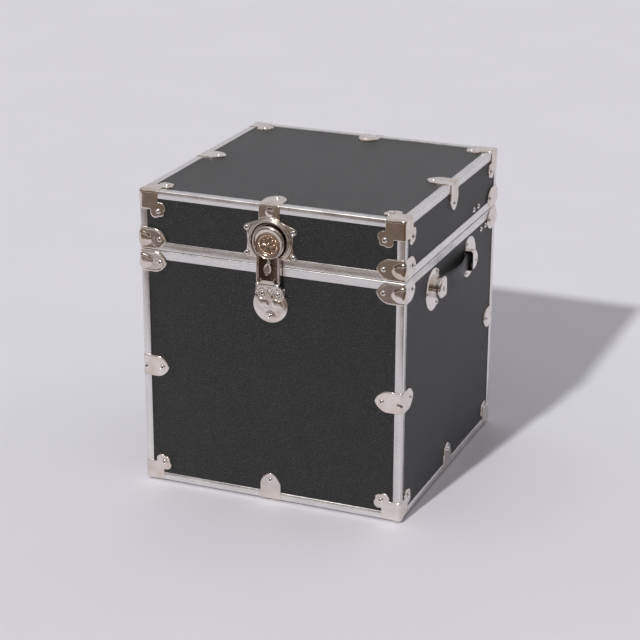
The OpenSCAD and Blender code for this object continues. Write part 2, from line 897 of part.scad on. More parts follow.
// Leather grip: a flat strap that bows outwards between the hoods
grip_low = 2;                 // height of its ends above the edging's plane
grip_half = 81.5;
bow_half = 70;
function bow(y) = grip_low + (abs(y) < bow_half ? grip_bow * (0.5 + 0.5 * cos(180 * y / bow_half)) : 0);
module grip(i) {
    steps = 24;
    ys = [for (k = [0:steps]) -grip_half + 2 * grip_half * k / steps];
    color(black)
        on_side(i)
            translate([0, handle_z + grip_w / 2, 0])
                rotate([90, 0, 0])
                    linear_extrude(grip_w)
                        polygon(concat(
                            [for (y = ys) [y, bow(y)]],
                            [for (k = [steps:-1:0]) [ys[k], bow(ys[k]) + grip_t]]
                        ));
}
module right_grip() grip(1);
module left_grip() grip(3);

// ---------- hinges ----------
axis_y = half_d + hinge_out;
axis_z = split_z;
hinge_leaf_t = 1.5;
hinge_leaf_h = 36;
hinge_barrel_r = 3.5;
hinge_pin_r = 2;
hinge_steps = 5;
knuckle_gap = 0.4;
hinge_rivet_z = 25;
hinge_rivet_x = 17;
function hinge_places(dz) = [
    for (s = [-1, 1], t = [-1, 0, 1])
        [s * hinge_x + t * hinge_rivet_x, split_z + dz + (t == 0 ? 5 * sign(dz) : 0)]
];
hinge_body_places = hinge_places(-hinge_rivet_z);
hinge_lid_places = hinge_places(hinge_rivet_z);
// The hinge's middle is at side * hinge_x, seen from behind
module hinge_barrel(x, from, to, r) {
    translate([x + from, split_z, hinge_out])
        rotate([0, 90, 0])
            cylinder(r = r, h = to - from);
}
// A leaf with every second knuckle, on the back, running down (-1) or up (+1) from the axis
module hinge_leaf(x, dir) {
    step = hinge_w / hinge_steps;
    mine = dir < 0 ? 0 : 1;
    color(nickel)
        on_side(2)
            difference() {
                union() {
                    translate([x - hinge_w / 2, split_z + (dir < 0 ? -hinge_leaf_h : 1), 0])
                        cube([hinge_w, hinge_leaf_h - 1, hinge_leaf_t]);
                    translate([x - hinge_w / 2, split_z + (dir < 0 ? -hinge_leaf_h : rail_h + pad_clear), -angle_t])
                        cube([hinge_w, hinge_leaf_h - rail_h - pad_clear, angle_t]);
                    for (k = [mine:2:hinge_steps - 1]) {
                        from = -hinge_w / 2 + k * step + knuckle_gap / 2;
                        to = from + step - knuckle_gap;
                        hinge_barrel(x, from, to, hinge_barrel_r);
                        translate([x + from, split_z + (dir < 0 ? -3.5 : 0.5), 0])
                            cube([to - from, 3, hinge_out]);
                    }
                }
                for (k = [1 - mine:2:hinge_steps - 1]) {
                    from = -hinge_w / 2 + k * step - knuckle_gap / 2;
                    hinge_barrel(x, from, from + step + knuckle_gap, hinge_barrel_r + 0.4);
                }
                hinge_barrel(x, -hinge_w, hinge_w, hinge_pin_r + (dir > 0 ? run : 0));
                bores(dir < 0 ? hinge_body_places : hinge_lid_places);
            }
}
module hinge_pin(x) {
    color(nickel)
        on_side(2)
            hinge_barrel(x, -hinge_w / 2, hinge_w / 2, hinge_pin_r);
}
module left_hinge_body_leaf() hinge_leaf(hinge_x, -1);
module right_hinge_body_leaf() hinge_leaf(-hinge_x, -1);
module left_hinge_lid_leaf() hinge_leaf(hinge_x, 1);
module right_hinge_lid_leaf() hinge_leaf(-hinge_x, 1);
module left_hinge_pin() hinge_pin(hinge_x);
module right_hinge_pin() hinge_pin(-hinge_x);
module hinge_body_rivets() {
    color(nickel)
        on_side(2)
            rivets(hinge_body_places, hinge_leaf_t, hinge_leaf_t + inside);
}
module hinge_lid_rivets() {
    color(nickel)
        on_side(2)
            rivets(hinge_lid_places, hinge_leaf_t, hinge_leaf_t + inside);
}

// ---------- lid stay, inside the right wall ----------
// Its four pins form a parallelogram with the hinge axis, so that both arms turn as far as the lid does
stay_p = [axis_y - stay_low_y, axis_z - stay_low_z];
stay_q = [axis_y - stay_top_y, axis_z + stay_top_z];
stay_m = [axis_y - stay_low_y - stay_top_y, axis_z - stay_low_z + stay_top_z];
stay_w = 12;
stay_t = 1.5;
stay_gap = 0.3;
stay_rivet = 11.5;
stay_pin_r = 2.5;
stay_near = 8.2;      // stay's pin to the nearer rivet of its bracket on the trunk
stay_far = 14.5;      // and to the farther one
stay_body_places = [for (d = [-stay_far, stay_near]) [stay_p[0] + d, stay_p[1] + 1.5]];
stay_lid_places = [for (s = [-1, 1]) [stay_q[0] - 1 + s * stay_rivet, stay_q[1] + 0.5]];
low_layer = -inside - 1 - stay_t - 1.8;           // lower arm, clear of the clinched rivet ends
high_layer = low_layer - stay_t - stay_gap;       // upper arm
bracket_layer = -inside - stay_t;
module stay_bracket(places, pin, layer) {
    color(nickel)
        on_side(1) {
            difference() {
                union() {
                    translate([places[0][0] - 6, min(places[0][1], pin[1]) - 7, bracket_layer])
                        cube([places[1][0] - places[0][0] + 12, abs(pin[1] - places[0][1]) + 14, stay_t]);
                    translate([pin[0], pin[1], layer + stay_t + 0.1])
                        cylinder(r = 4, h = bracket_layer - layer - stay_t);
                    translate([pin[0], pin[1], layer - 0.3])
                        cylinder(r = stay_pin_r, h = stay_t + 1);
                    translate([pin[0], pin[1], layer - 1.3])
                        cylinder(r = 4, h = 1.1);
                }
                bores(places);
            }
        }
}
module stay_body_bracket() stay_bracket(stay_body_places, stay_p, low_layer);
module stay_lid_bracket() stay_bracket(stay_lid_places, stay_q, high_layer);
// A flat arm with round ends between two pins
module stay_bar(a, b, layer) {
    d = b - a;
    translate([a[0], a[1], layer])
        rotate(atan2(d[1], d[0]))
            linear_extrude(stay_t) {
                translate([0, -stay_w / 2])
                    square([norm(d), stay_w]);
                circle(r = stay_w / 2);
                translate([norm(d), 0])
                    circle(r = stay_w / 2);
            }
}
module stay_lower_arm() {
    color(nickel)
        on_side(1) {
            difference() {
                stay_bar(stay_p, stay_m, low_layer);
                translate([stay_p[0], stay_p[1], low_layer - 1])
                    cylinder(r = stay_pin_r + run, h = 5);
            }
            // the pin of the elbow, riveted into this arm
            translate([stay_m[0], stay_m[1], high_layer - 0.5])
                cylinder(r = stay_pin_r, h = low_layer - high_layer + 0.5);
            translate([stay_m[0], stay_m[1], high_layer - 1.5])
                cylinder(r = 4.5, h = 1);
        }
}
module stay_upper_arm() {
    color(nickel)
        on_side(1)
            difference() {
                stay_bar(stay_q, stay_m, high_layer);
                translate([stay_q[0], stay_q[1], high_layer - 1])
                    cylinder(r = stay_pin_r + run, h = 5);
                translate([stay_m[0], stay_m[1], high_layer - 1])
                    cylinder(r = stay_pin_r + 0.3, h = 5);
            }
}

// ---------- rivets through each panel ----------
front_places = concat(body_side_rivets(0), leaf_rivets_on_side);
right_places = concat(body_side_rivets(1), handle_places, stay_body_places);
left_places = concat(body_side_rivets(3), handle_places);
back_places = concat(body_side_rivets(2), hinge_body_places);
lid_front_places = concat(lid_side_rivets(0), lock_rivets_on_side);
lid_back_places = concat(lid_side_rivets(2), hinge_lid_places);
lid_right_places = concat(lid_side_rivets(1), stay_lid_places);

// ---------- rivets of the caps and clamps ----------
module body_rivets() {
    color(nickel) {
        for (i = [0:3])
            on_side(i)
                rivets(body_side_rivets(i), sheet_t, rivet_grip);
        on_side(1)
            rivets(stay_body_places, -angle_t, inside + stay_t - angle_t);
    }
}
module lid_rivets() {
    color(nickel) {
        for (i = [0:3])
            on_side(i)
                rivets(lid_side_rivets(i), sheet_t, rivet_grip);
        on_top()
            rivets(end_rivets, sheet_t, rivet_grip);
        on_side(1)
            rivets(stay_lid_places, -angle_t, inside + stay_t - angle_t);
    }
}
module bottom_rivets() {
    color(nickel)
        on_bottom()
            rivets(end_rivets, sheet_t, rivet_grip);
}

body_front_panel();
body_back_panel();
body_left_panel();
body_right_panel();
bottom_panel();
body_lining();
body_closure_rail();
bottom_edge_angles();
body_corner_angles();
bottom_corner_caps();
body_closure_clamps();
post_clamps();
bottom_edge_clamps();
body_rivets();
bottom_rivets();
hasp_mount_plate();
hasp_leaf();
hasp_pin();
hasp_leaf_rivets();
right_handle_front_cap();
right_handle_rear_cap();
left_handle_front_cap();
left_handle_rear_cap();
handle_rivets();
right_grip();
left_grip();
left_hinge_body_leaf();
right_hinge_body_leaf();
left_hinge_pin();
right_hinge_pin();
hinge_body_rivets();
stay_body_bracket();
stay_lower_arm();
stay_upper_arm();
lid_top_panel();
lid_front_panel();
lid_back_panel();
lid_left_panel();
lid_right_panel();
lid_lining();
lid_closure_rail();
lid_top_angles();
lid_corner_angles();
lid_corner_caps();
lid_closure_clamps();
lid_edge_clamps();
lock_edge_clamp();
lock_plate();
lock_rivets();
lid_rivets();
left_hinge_lid_leaf();
right_hinge_lid_leaf();
hinge_lid_rivets();
stay_lid_bracket();
hasp();
hasp_medallion();
keyhole_cover();
cover_pin();
key_plug();
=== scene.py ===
"""A black cube footlocker with aluminium edging and nickel hardware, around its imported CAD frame."""
import math

import bmesh
import bpy
import numpy as np
from mathutils import Matrix, Vector
from mathutils.geometry import delaunay_2d_cdt


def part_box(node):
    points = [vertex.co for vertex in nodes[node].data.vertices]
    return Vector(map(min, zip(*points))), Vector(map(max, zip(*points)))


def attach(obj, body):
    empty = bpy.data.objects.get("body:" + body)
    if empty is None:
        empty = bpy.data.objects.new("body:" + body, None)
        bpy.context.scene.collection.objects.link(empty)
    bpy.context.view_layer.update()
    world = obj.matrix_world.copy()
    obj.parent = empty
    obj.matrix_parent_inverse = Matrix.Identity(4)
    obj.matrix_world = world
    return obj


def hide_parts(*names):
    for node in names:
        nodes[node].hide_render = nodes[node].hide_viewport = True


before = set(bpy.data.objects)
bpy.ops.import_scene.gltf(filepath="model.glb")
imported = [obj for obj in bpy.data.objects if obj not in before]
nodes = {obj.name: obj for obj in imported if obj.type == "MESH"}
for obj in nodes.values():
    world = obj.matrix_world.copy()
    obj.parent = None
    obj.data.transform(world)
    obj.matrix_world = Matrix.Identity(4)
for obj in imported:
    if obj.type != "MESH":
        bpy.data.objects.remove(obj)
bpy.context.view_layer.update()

MM = 0.001


# ---------- sizes, in mm, from the frame
def box_mm(node):
    low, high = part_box(node)
    return [c / MM for c in low], [c / MM for c in high]


HALF_W = box_mm("body_closure_rail")[1][0]
HALF_D = box_mm("body_closure_rail")[1][1]
BASE_Z = box_mm("bottom_edge_angles")[0][2]
TOP_Z = box_mm("lid_top_angles")[1][2]
BODY_RAIL_LOW = box_mm("body_closure_rail")[0][2]
LID_RAIL_LOW, LID_RAIL_HIGH = box_mm("lid_closure_rail")[0][2], box_mm("lid_closure_rail")[1][2]
RAIL_GAP = 0.8
SPLIT_Z = LID_RAIL_LOW - RAIL_GAP / 2
LEG = box_mm("bottom_edge_angles")[1][2] - BASE_Z
SHEET = 1.2           # thickness of the pressed hardware
PAD = 2.3             # depth of the hardware's turned-down rims
FOLD_R = 4.0


# ---------- mesh helpers
def new_object(name, verts, faces, material, smooth=True):
    mesh = bpy.data.meshes.new(name)
    mesh.from_pydata([Vector(v) * MM for v in verts], [], faces)
    mesh.validate()
    mesh.materials.append(material)
    for poly in mesh.polygons:
        poly.use_smooth = smooth
    obj = bpy.data.objects.new(name, mesh)
    bpy.context.scene.collection.objects.link(obj)
    return obj


def soften(obj, width):
    """Rounds the sharp edges of a carried-over node."""
    modifier = obj.modifiers.new("soft_edges", "BEVEL")
    modifier.width = width * MM
    modifier.segments = 2
    modifier.limit_method = "ANGLE"
    modifier.angle_limit = math.radians(35)
    modifier.harden_normals = True


def outward(build):
    """Turns the faces of a finished build outwards, shell by shell."""
    mesh = bpy.data.meshes.new("scratch")
    mesh.from_pydata(build.verts, [], build.faces)
    bm = bmesh.new()
    bm.from_mesh(mesh)
    bmesh.ops.recalc_face_normals(bm, faces=bm.faces)
    build.verts = [tuple(v.co) for v in bm.verts]
    build.faces = [tuple(v.index for v in f.verts) for f in bm.faces]
    bm.free()
    bpy.data.meshes.remove(mesh)


class Build:
    """Collects vertices and faces of one piece made of several closed shells."""

    def __init__(self):
        self.verts = []
        self.faces = []

    def add(self, verts, faces):
        base = len(self.verts)
        self.verts.extend([tuple(v) for v in verts])
        self.faces.extend([tuple(base + i for i in face) for face in faces])

    def piece(self, name, material, body, slot, *replaced, sharp=None):
        outward(self)
        obj = new_object(name, self.verts, self.faces, material)
        if sharp:
            split_edges(obj, sharp)
        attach(obj, body)
        if replaced:
            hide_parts(*replaced)
        return obj


def split_edges(obj, angle):
    """Marks edges sharper than an angle, so that smooth shading stops there."""
    obj.data.set_sharp_from_angle(angle=math.radians(angle))


def side_place(side):
    """A function that turns (right, up, out) on side 0 to 3, 'top' or 'bottom' into x, y, z."""
    def place(u, v, h):
        if side == 0:
            return u, -HALF_D - h, v
        if side == 1:
            return HALF_W + h, u, v
        if side == 2:
            return -u, HALF_D + h, v
        if side == 3:
            return -HALF_W - h, -u, v
        if side == "top":
            return u, v, TOP_Z + h
        return u, -v, BASE_Z - h
    return place


def smooth_step(x, low, high):
    t = np.clip((np.asarray(x, float) - low) / (high - low), 0, 1)
    return t * t * (3 - 2 * t)


def contour(distance, centre, angles, reach=120):
    """Outline of the region where distance(x, y) < 0, by rays from a centre."""
    a = np.asarray(angles)
    low, high = np.zeros(len(a)), np.full(len(a), float(reach))
    for _ in range(40):
        mid = (low + high) / 2
        inside = distance(centre[0] + mid * np.cos(a), centre[1] + mid * np.sin(a)) < 0
        low, high = np.where(inside, mid, low), np.where(inside, high, mid)
    return np.stack([centre[0] + low * np.cos(a), centre[1] + low * np.sin(a)], 1)


def spread(points, step, closed=True):
    """The same outline with its points a step apart."""
    pts = np.asarray(points, float)
    if closed:
        pts = np.vstack([pts, pts[:1]])
    seg = np.hypot(*np.diff(pts, axis=0).T)
    along = np.concatenate([[0], np.cumsum(seg)])
    count = max(3, int(round(along[-1] / step)))
    want = np.linspace(0, along[-1], count + 1)
    out = np.stack([np.interp(want, along, pts[:, k]) for k in (0, 1)], 1)
    return out[:-1] if closed else out


def round_outline(distance, centre, rays, reach, step):
    """The whole outline of a region, seen from a centre, with its points a step apart."""
    angles = np.linspace(0, 2 * math.pi, rays, endpoint=False)
    return spread(contour(distance, centre, angles, reach), step)


def rim_fall(d, depth=0.7, width=1.2):
    """How far a rounded rim has fallen at a distance d inside it."""
    return depth * (1 - np.sqrt(np.clip(1 - (1 - np.clip(d / width, 0, 1)) ** 2, 0, 1)))


def nearest(u, v, places):
    """Distance of each point from the nearest of a few places."""
    return np.minimum.reduce([np.hypot(u - x, v - y) for x, y in places])


def circle_d(x, y, cx, cy, r):
    return np.hypot(x - cx, y - cy) - r


def box_d(x, y, x0, x1, y0, y1):
    dx = np.abs(x - (x0 + x1) / 2) - (x1 - x0) / 2
    dy = np.abs(y - (y0 + y1) / 2) - (y1 - y0) / 2
    return np.hypot(np.maximum(dx, 0), np.maximum(dy, 0)) + np.minimum(np.maximum(dx, dy), 0)


def blend_min(a, b, k):
    """Union of two regions with a fillet of about k where they meet."""
    h = np.clip(0.5 + 0.5 * (b - a) / k, 0, 1)
    return b * (1 - h) + a * h - k * h * (1 - h)


def edge_distance(pts, outline, closed=True):
    """Distance of each point from the outline."""
    a = np.asarray(outline)
    b = np.roll(a, -1, axis=0)
    if not closed:
        a, b = a[:-1], b[:-1]
    best = np.full(len(pts), 1e9)
    for p, q in zip(a, b):
        d = q - p
        t = np.clip(((pts - p) @ d) / max(d @ d, 1e-12), 0, 1)
        best = np.minimum(best, np.hypot(*(pts - p - t[:, None] * d).T))
    return best


def fill(outline, step, rings=(0.35, 0.9), rim=None):
    """Triangles over an outline, with extra rings of points close inside its rim.
    Returns points, triangles and each point's distance from the rim."""
    outline = np.asarray(outline, float)
    rim = outline if rim is None else np.asarray(rim, float)
    closed = rim is outline
    low, high = outline.min(0), outline.max(0)
    xs = np.arange(low[0], high[0] + step, step)
    ys = np.arange(low[1], high[1] + step, step * 0.866)
    grid = np.array([(x + (step / 2 if j % 2 else 0), y) for j, y in enumerate(ys) for x in xs])
    extra = []
    normals = np.roll(outline, -1, axis=0) - np.roll(outline, 1, axis=0)
    normals = np.stack([-normals[:, 1], normals[:, 0]], 1)
    normals /= np.maximum(np.hypot(*normals.T), 1e-9)[:, None]
    for r in rings:
        ring = outline + normals * r
        extra.append(ring[edge_distance(ring, outline) > r * 0.9])
    inner = grid[edge_distance(grid, outline) > rings[-1] + step * 0.45]
    pts = np.vstack([outline] + extra + [inner])
    n = len(outline)
    edges = [(i, (i + 1) % n) for i in range(n)]
    out = delaunay_2d_cdt([Vector(p) for p in pts], edges, [], 1, 1e-5)
    used = sorted({i for f in out[2] for i in f})
    number = {old: new for new, old in enumerate(used)}
    verts = np.array([(out[0][i].x, out[0][i].y) for i in used])
    tris = [tuple(number[i] for i in f) for f in out[2]]
    return verts, tris, edge_distance(verts, rim, closed)


def shell(build, verts2, tris, top, bottom):
    """A closed shell: the same triangles on a top and a bottom surface, joined round the rim."""
    n = len(verts2)
    count = {}
    for tri in tris:
        for i in range(len(tri)):
            edge = (tri[i], tri[(i + 1) % len(tri)])
            count[edge] = count.get(edge, 0) + 1
    rim = [e for e in count if (e[1], e[0]) not in count]
    faces = [tri for tri in tris]
    faces += [tuple(n + i for i in reversed(tri)) for tri in tris]
    faces += [(b, a, n + a, n + b) for a, b in rim]
    build.add(list(top) + list(bottom), faces)


def pressed(build, outline, place, relief=None, step=2.2, edge_drop=0.7, edge_w=1.1, level=SHEET,
            low=None, rings=(0.35, 0.9)):
    """A stamped plate: its outline filled, raised by a relief, with a rounded and turned-down rim."""
    pts, tris, d = fill(outline, step, rings)
    h = np.full(len(pts), float(level))
    if relief is not None:
        h = h + relief(pts[:, 0], pts[:, 1])
    h = h - rim_fall(d, edge_drop, edge_w)
    base = level - PAD if low is None else low
    top = [place(p[0], p[1], z) for p, z in zip(pts, h)]
    bottom = [place(p[0], p[1], min(base, z - 0.3)) for p, z in zip(pts, h)]
    shell(build, pts, tris, top, bottom)


def lathe(build, profile, place, steps=32, start=0.0, sweep=360.0):
    """A profile of (radius, height) turned about the place's own axis; closed when the sweep is full."""
    full = sweep > 359.9
    rows = steps if full else steps + 1
    verts, faces = [], []
    for k in range(rows):
        a = math.radians(start + sweep * k / steps)
        for r, h in profile:
            verts.append(place(r * math.cos(a), r * math.sin(a), h))
    m = len(profile)
    closed_profile = profile[0][0] > 1e-6
    span = m if closed_profile else m - 1
    for k in range(steps):
        k2 = (k + 1) % rows
        for j in range(span):
            j2 = (j + 1) % m
            faces.append((k * m + j, k2 * m + j, k2 * m + j2, k * m + j2))
    if not full:
        faces += [tuple(range(m)), tuple((rows - 1) * m + j for j in reversed(range(m)))]
    build.add(verts, faces)


def loft(build, sections, place):
    """A closed loft through sections of (u, v, h) points."""
    n = len(sections[0])
    verts = [place(*p) for section in sections for p in section]
    faces = [tuple(range(n)), tuple((len(sections) - 1) * n + i for i in reversed(range(n)))]
    for j in range(len(sections) - 1):
        a, b = j * n, (j + 1) * n
        faces += [(a + i, b + i, b + (i + 1) % n, a + (i + 1) % n) for i in range(n)]
    build.add(verts, faces)


def arc(cx, cy, r, a0, a1, n=6):
    """Points along an arc, angles in degrees."""
    return [(cx + r * math.cos(math.radians(a0 + (a1 - a0) * k / n)),
             cy + r * math.sin(math.radians(a0 + (a1 - a0) * k / n))) for k in range(n + 1)]


def moved(place, du, dv, turn=0.0):
    """The same place function with its drawing shifted and turned."""
    c, s = math.cos(math.radians(turn)), math.sin(math.radians(turn))

    def shifted(u, v, h):
        return place(du + c * u - s * v, dv + s * u + c * v, h)
    return shifted


# ---------- materials
def shader(name, metallic, roughness, color):
    mat = bpy.data.materials.new(name)
    mat.use_nodes = True
    tree = mat.node_tree
    bsdf = tree.nodes["Principled BSDF"]
    bsdf.inputs["Metallic"].default_value = metallic
    bsdf.inputs["Roughness"].default_value = roughness
    bsdf.inputs["Base Color"].default_value = (*color, 1)
    return mat, tree, bsdf


def node(tree, kind, **values):
    n = tree.nodes.new(kind)
    for key, value in values.items():
        if key in n.inputs:
            n.inputs[key].default_value = value
        else:
            setattr(n, key, value)
    return n


def link(tree, a, b):
    tree.links.new(a, b)


def object_coords(tree, scale=(1, 1, 1)):
    coords = node(tree, "ShaderNodeTexCoord")
    mapping = node(tree, "ShaderNodeMapping", Scale=scale)
    link(tree, coords.outputs["Object"], mapping.inputs["Vector"])
    return mapping.outputs["Vector"]


def texture(tree, vector, kind, **values):
    """A texture node of some kind, read at a vector."""
    n = node(tree, "ShaderNodeTex" + kind, **values)
    link(tree, vector, n.inputs["Vector"])
    return n.outputs


def noise(tree, vector, scale, detail=4, roughness=0.55):
    return texture(tree, vector, "Noise", Scale=scale, Detail=detail, Roughness=roughness)["Fac"]


def ramp(tree, value, stops):
    r = node(tree, "ShaderNodeValToRGB")
    for element, (position, color) in zip(r.color_ramp.elements, stops[:2]):
        element.position = position
        element.color = (*color, 1)
    for position, color in stops[2:]:
        r.color_ramp.elements.new(position).color = (*color, 1)
    link(tree, value, r.inputs["Fac"])
    return r.outputs["Color"]


def span(tree, value, low, high, low_in=0.0, high_in=1.0):
    """The value, moved from one range to another."""
    m = node(tree, "ShaderNodeMapRange")
    for socket, number in zip(("From Min", "From Max", "To Min", "To Max"), (low_in, high_in, low, high)):
        m.inputs[socket].default_value = number
    link(tree, value, m.inputs["Value"])
    return m.outputs["Result"]


def mixed(tree, a, b, **values):
    """Two colours mixed."""
    m = node(tree, "ShaderNodeMix", data_type="RGBA", **values)
    link(tree, a, m.inputs["A"])
    link(tree, b, m.inputs["B"])
    return m


def paint(tree, bsdf, value, stops):
    """Colours a surface by a value."""
    link(tree, ramp(tree, value, stops), bsdf.inputs["Base Color"])


def polish(tree, bsdf, value, *limits):
    """Varies a surface's roughness with a value."""
    link(tree, span(tree, value, *limits), bsdf.inputs["Roughness"])


def bump(tree, bsdf, height, strength, distance, below=None):
    b = node(tree, "ShaderNodeBump", Strength=strength, Distance=distance)
    link(tree, height, b.inputs["Height"])
    if below is not None:
        link(tree, below, b.inputs["Normal"])
    link(tree, b.outputs["Normal"], bsdf.inputs["Normal"])


def mix_value(tree, a, b, operation="ADD"):
    m = node(tree, "ShaderNodeMath", operation=operation)
    link(tree, a, m.inputs[0])
    if isinstance(b, float):
        m.inputs[1].default_value = b
    else:
        link(tree, b, m.inputs[1])
    return m.outputs[0]


def vinyl_material():
    """Black vinyl with a fine embossed leather grain."""
    mat, tree, bsdf = shader("black_vinyl", 0, 0.46, (0.016, 0.016, 0.018))
    at = object_coords(tree)
    warp = texture(tree, at, "Noise", Scale=240, Detail=3)["Color"]
    shifted = mixed(tree, at, warp, blend_type="LINEAR_LIGHT", Factor=0.0022)
    cells = texture(tree, shifted.outputs["Result"], "Voronoi", feature="DISTANCE_TO_EDGE", Scale=480)
    pebbles = span(tree, cells["Distance"], 0, 1, 0.0, 0.35)
    fine = noise(tree, at, 2600, 3)
    bump(tree, bsdf, mix_value(tree, pebbles, mix_value(tree, fine, 0.35, "MULTIPLY")), 0.8, 0.0006)
    patches = noise(tree, at, 9, 5)
    # Colour: random darker patches, and painted shade in the grain's valleys, darker wherever the grain is
    # low.
    paint(tree, bsdf, mix_value(tree, pebbles, patches, "MULTIPLY"),
          [(0.0, (0.005, 0.005, 0.0055)), (0.55, (0.014, 0.014, 0.016))])
    polish(tree, bsdf, patches, 0.36, 0.48)
    bsdf.inputs["Specular IOR Level"].default_value = 0.40
    bsdf.inputs["Sheen Weight"].default_value = 0.09
    bsdf.inputs["Sheen Roughness"].default_value = 0.4
    return mat


def aluminium_material(name, stretch):
    """Matt rolled aluminium, brushed along one axis."""
    mat, tree, bsdf = shader(name, 1, 0.38, (0.72, 0.72, 0.735))
    lines = noise(tree, object_coords(tree, stretch), 900, 5, 0.6)
    blotch = noise(tree, object_coords(tree), 26, 4)
    color = ramp(tree, lines, [(0.3, (0.74, 0.72, 0.71)), (0.7, (0.90, 0.88, 0.87))])
    tint = ramp(tree, blotch, [(0.3, (0.72, 0.71, 0.70)), (0.65, (1, 1, 1))])
    tinted = mixed(tree, color, tint, blend_type="MULTIPLY", Factor=0.35)
    link(tree, tinted.outputs["Result"], bsdf.inputs["Base Color"])
    polish(tree, bsdf, mix_value(tree, lines, blotch, "MULTIPLY"), 0.20, 0.36, 0.1, 0.45)
    bump(tree, bsdf, lines, 0.12, 0.00008)
    return mat


def nickel_material(name="nickel", color=(0.80, 0.745, 0.69), rough=(0.07, 0.18)):
    """Bright nickel plate over a stamping: soft ripples, hairline scratches and a worn, warmer tone."""
    mat, tree, bsdf = shader(name, 1, rough[0], color)
    at = object_coords(tree)
    wave = noise(tree, at, 70, 3)
    fine = noise(tree, at, 900, 4)
    scratch = noise(tree, object_coords(tree, (1, 1, 14)), 260, 3)
    dark = tuple(c * f for c, f in zip(color, (0.86, 0.80, 0.74)))
    paint(tree, bsdf, noise(tree, at, 42, 5), [(0.32, dark), (0.62, color)])
    polish(tree, bsdf, mix_value(tree, scratch, fine, "MULTIPLY"), *rough, 0.12, 0.42)
    ripples = node(tree, "ShaderNodeBump", Strength=0.5, Distance=0.0005)
    link(tree, wave, ripples.inputs["Height"])
    bump(tree, bsdf, fine, 0.06, 0.0001, ripples.outputs["Normal"])
    return mat


def leather_material():
    """Black strap leather: pebbled, a little creased, lighter where it is rubbed."""
    mat, tree, bsdf = shader("handle_leather", 0, 0.45, (0.02, 0.02, 0.022))
    at = object_coords(tree)
    cells = texture(tree, at, "Voronoi", feature="SMOOTH_F1", Scale=900)
    crease = noise(tree, object_coords(tree, (1, 0.35, 1)), 190, 6, 0.65)
    height = mix_value(tree, cells["Distance"], mix_value(tree, crease, 1.4, "MULTIPLY"))
    bump(tree, bsdf, height, 0.5, 0.00035)
    rub = noise(tree, at, 60, 5)
    paint(tree, bsdf, rub, [(0.35, (0.022, 0.022, 0.024)), (0.7, (0.055, 0.054, 0.058))])
    polish(tree, bsdf, crease, 0.36, 0.58, 0.3, 0.7)
    return mat


def thread_material():
    """Twisted waxed thread."""
    mat, tree, bsdf = shader("waxed_thread", 0, 0.55, (0.03, 0.03, 0.032))
    twist = texture(tree, object_coords(tree), "Wave", bands_direction="DIAGONAL", Scale=900)["Fac"]
    # Colour follows the twist's height: painted highlight on the ridges and painted shade in the grooves.
    paint(tree, bsdf, twist, [(0.2, (0.06, 0.06, 0.062)), (0.8, (0.16, 0.16, 0.165))])
    bump(tree, bsdf, twist, 0.5, 0.0001)
    return mat


def lining_material():
    """Dark paper lining with a faint woven print."""
    mat, tree, bsdf = shader("lining", 0, 0.85, (0.05, 0.05, 0.06))
    at = object_coords(tree)
    weave = texture(tree, at, "Checker", Scale=900)["Fac"]
    mottle = noise(tree, at, 35, 5)
    paint(tree, bsdf, mottle, [(0.3, (0.035, 0.035, 0.042)), (0.7, (0.075, 0.075, 0.088))])
    bump(tree, bsdf, mix_value(tree, weave, mottle), 0.25, 0.0001)
    polish(tree, bsdf, mottle, 0.75, 0.92)
    return mat


def floor_material():
    """Pale matt paper."""
    mat, tree, bsdf = shader("floor_paper", 0, 0.7, (0.63, 0.625, 0.66))
    paint(tree, bsdf, noise(tree, object_coords(tree), 3, 3),
          [(0.3, (0.655, 0.655, 0.705)), (0.7, (0.67, 0.67, 0.72))])
    bsdf.inputs["Specular IOR Level"].default_value = 0.25
    return mat


VINYL = vinyl_material()
NICKEL = nickel_material()
# Paler, pinker copy of the nickel for the trunk's hardware, the hinges and the handle caps: its paleness is
# a painted reflection of the pale floor.
FLOOR_REFLECTION_NICKEL = nickel_material("nickel_painted_floor_reflection", (0.84, 0.79, 0.76), (0.10, 0.22))
# Brown copy of the nickel for the rosette: its brown is a painted reflection of the dim brown room.
ROOM_REFLECTION_NICKEL = nickel_material("nickel_painted_room_reflection", (0.46, 0.34, 0.26), (0.10, 0.24))
# Near-black copy of the nickel, used only as painted shade and painted dark reflection: in rivet dimples,
# round the feet of rivet heads and on the hasp channel's floor.
PAINTED_SHADE_NICKEL = nickel_material("nickel_painted_shade", (0.13, 0.095, 0.07), (0.08, 0.2))
RIVET_NICKEL = nickel_material("rivet_nickel", (0.92, 0.91, 0.92), (0.10, 0.20))
STEEL = nickel_material("dull_steel", (0.42, 0.40, 0.38), (0.25, 0.42))
ALU = {axis: aluminium_material("aluminium_along_" + axis, stretch)
       for axis, stretch in (("x", (0.02, 1, 1)), ("y", (1, 0.02, 1)), ("z", (1, 1, 0.02)))}
LEATHER = leather_material()
THREAD = thread_material()
LINING = lining_material()


# ---------- camera, light and floor
def camera():
    """The view of the photograph: from the right of the front, looking down by twenty degrees."""
    yaw, pitch, roll = math.radians(22.265), math.radians(20.22), math.radians(0.2204)
    cam = bpy.data.cameras.new("camera")
    cam.sensor_width = 36
    cam.lens = 111.47
    cam.clip_end = 50
    obj = bpy.data.objects.new("camera", cam)
    ahead = Vector((-math.sin(yaw) * math.cos(pitch), math.cos(yaw) * math.cos(pitch), -math.sin(pitch)))
    right = Vector((math.cos(yaw), math.sin(yaw), 0))
    up = right.cross(ahead)
    right_2 = math.cos(roll) * right + math.sin(roll) * up
    up_2 = math.cos(roll) * up - math.sin(roll) * right
    turn = Matrix((right_2, up_2, -ahead)).transposed().to_4x4()
    obj.matrix_world = Matrix.Translation((1.1389, -2.7991, 1.3373 + BASE_Z * MM)) @ turn
    bpy.context.scene.collection.objects.link(obj)
    bpy.context.scene.camera = obj


AWAY = Vector((-math.sin(math.radians(22.265)), math.cos(math.radians(22.265)), 0))


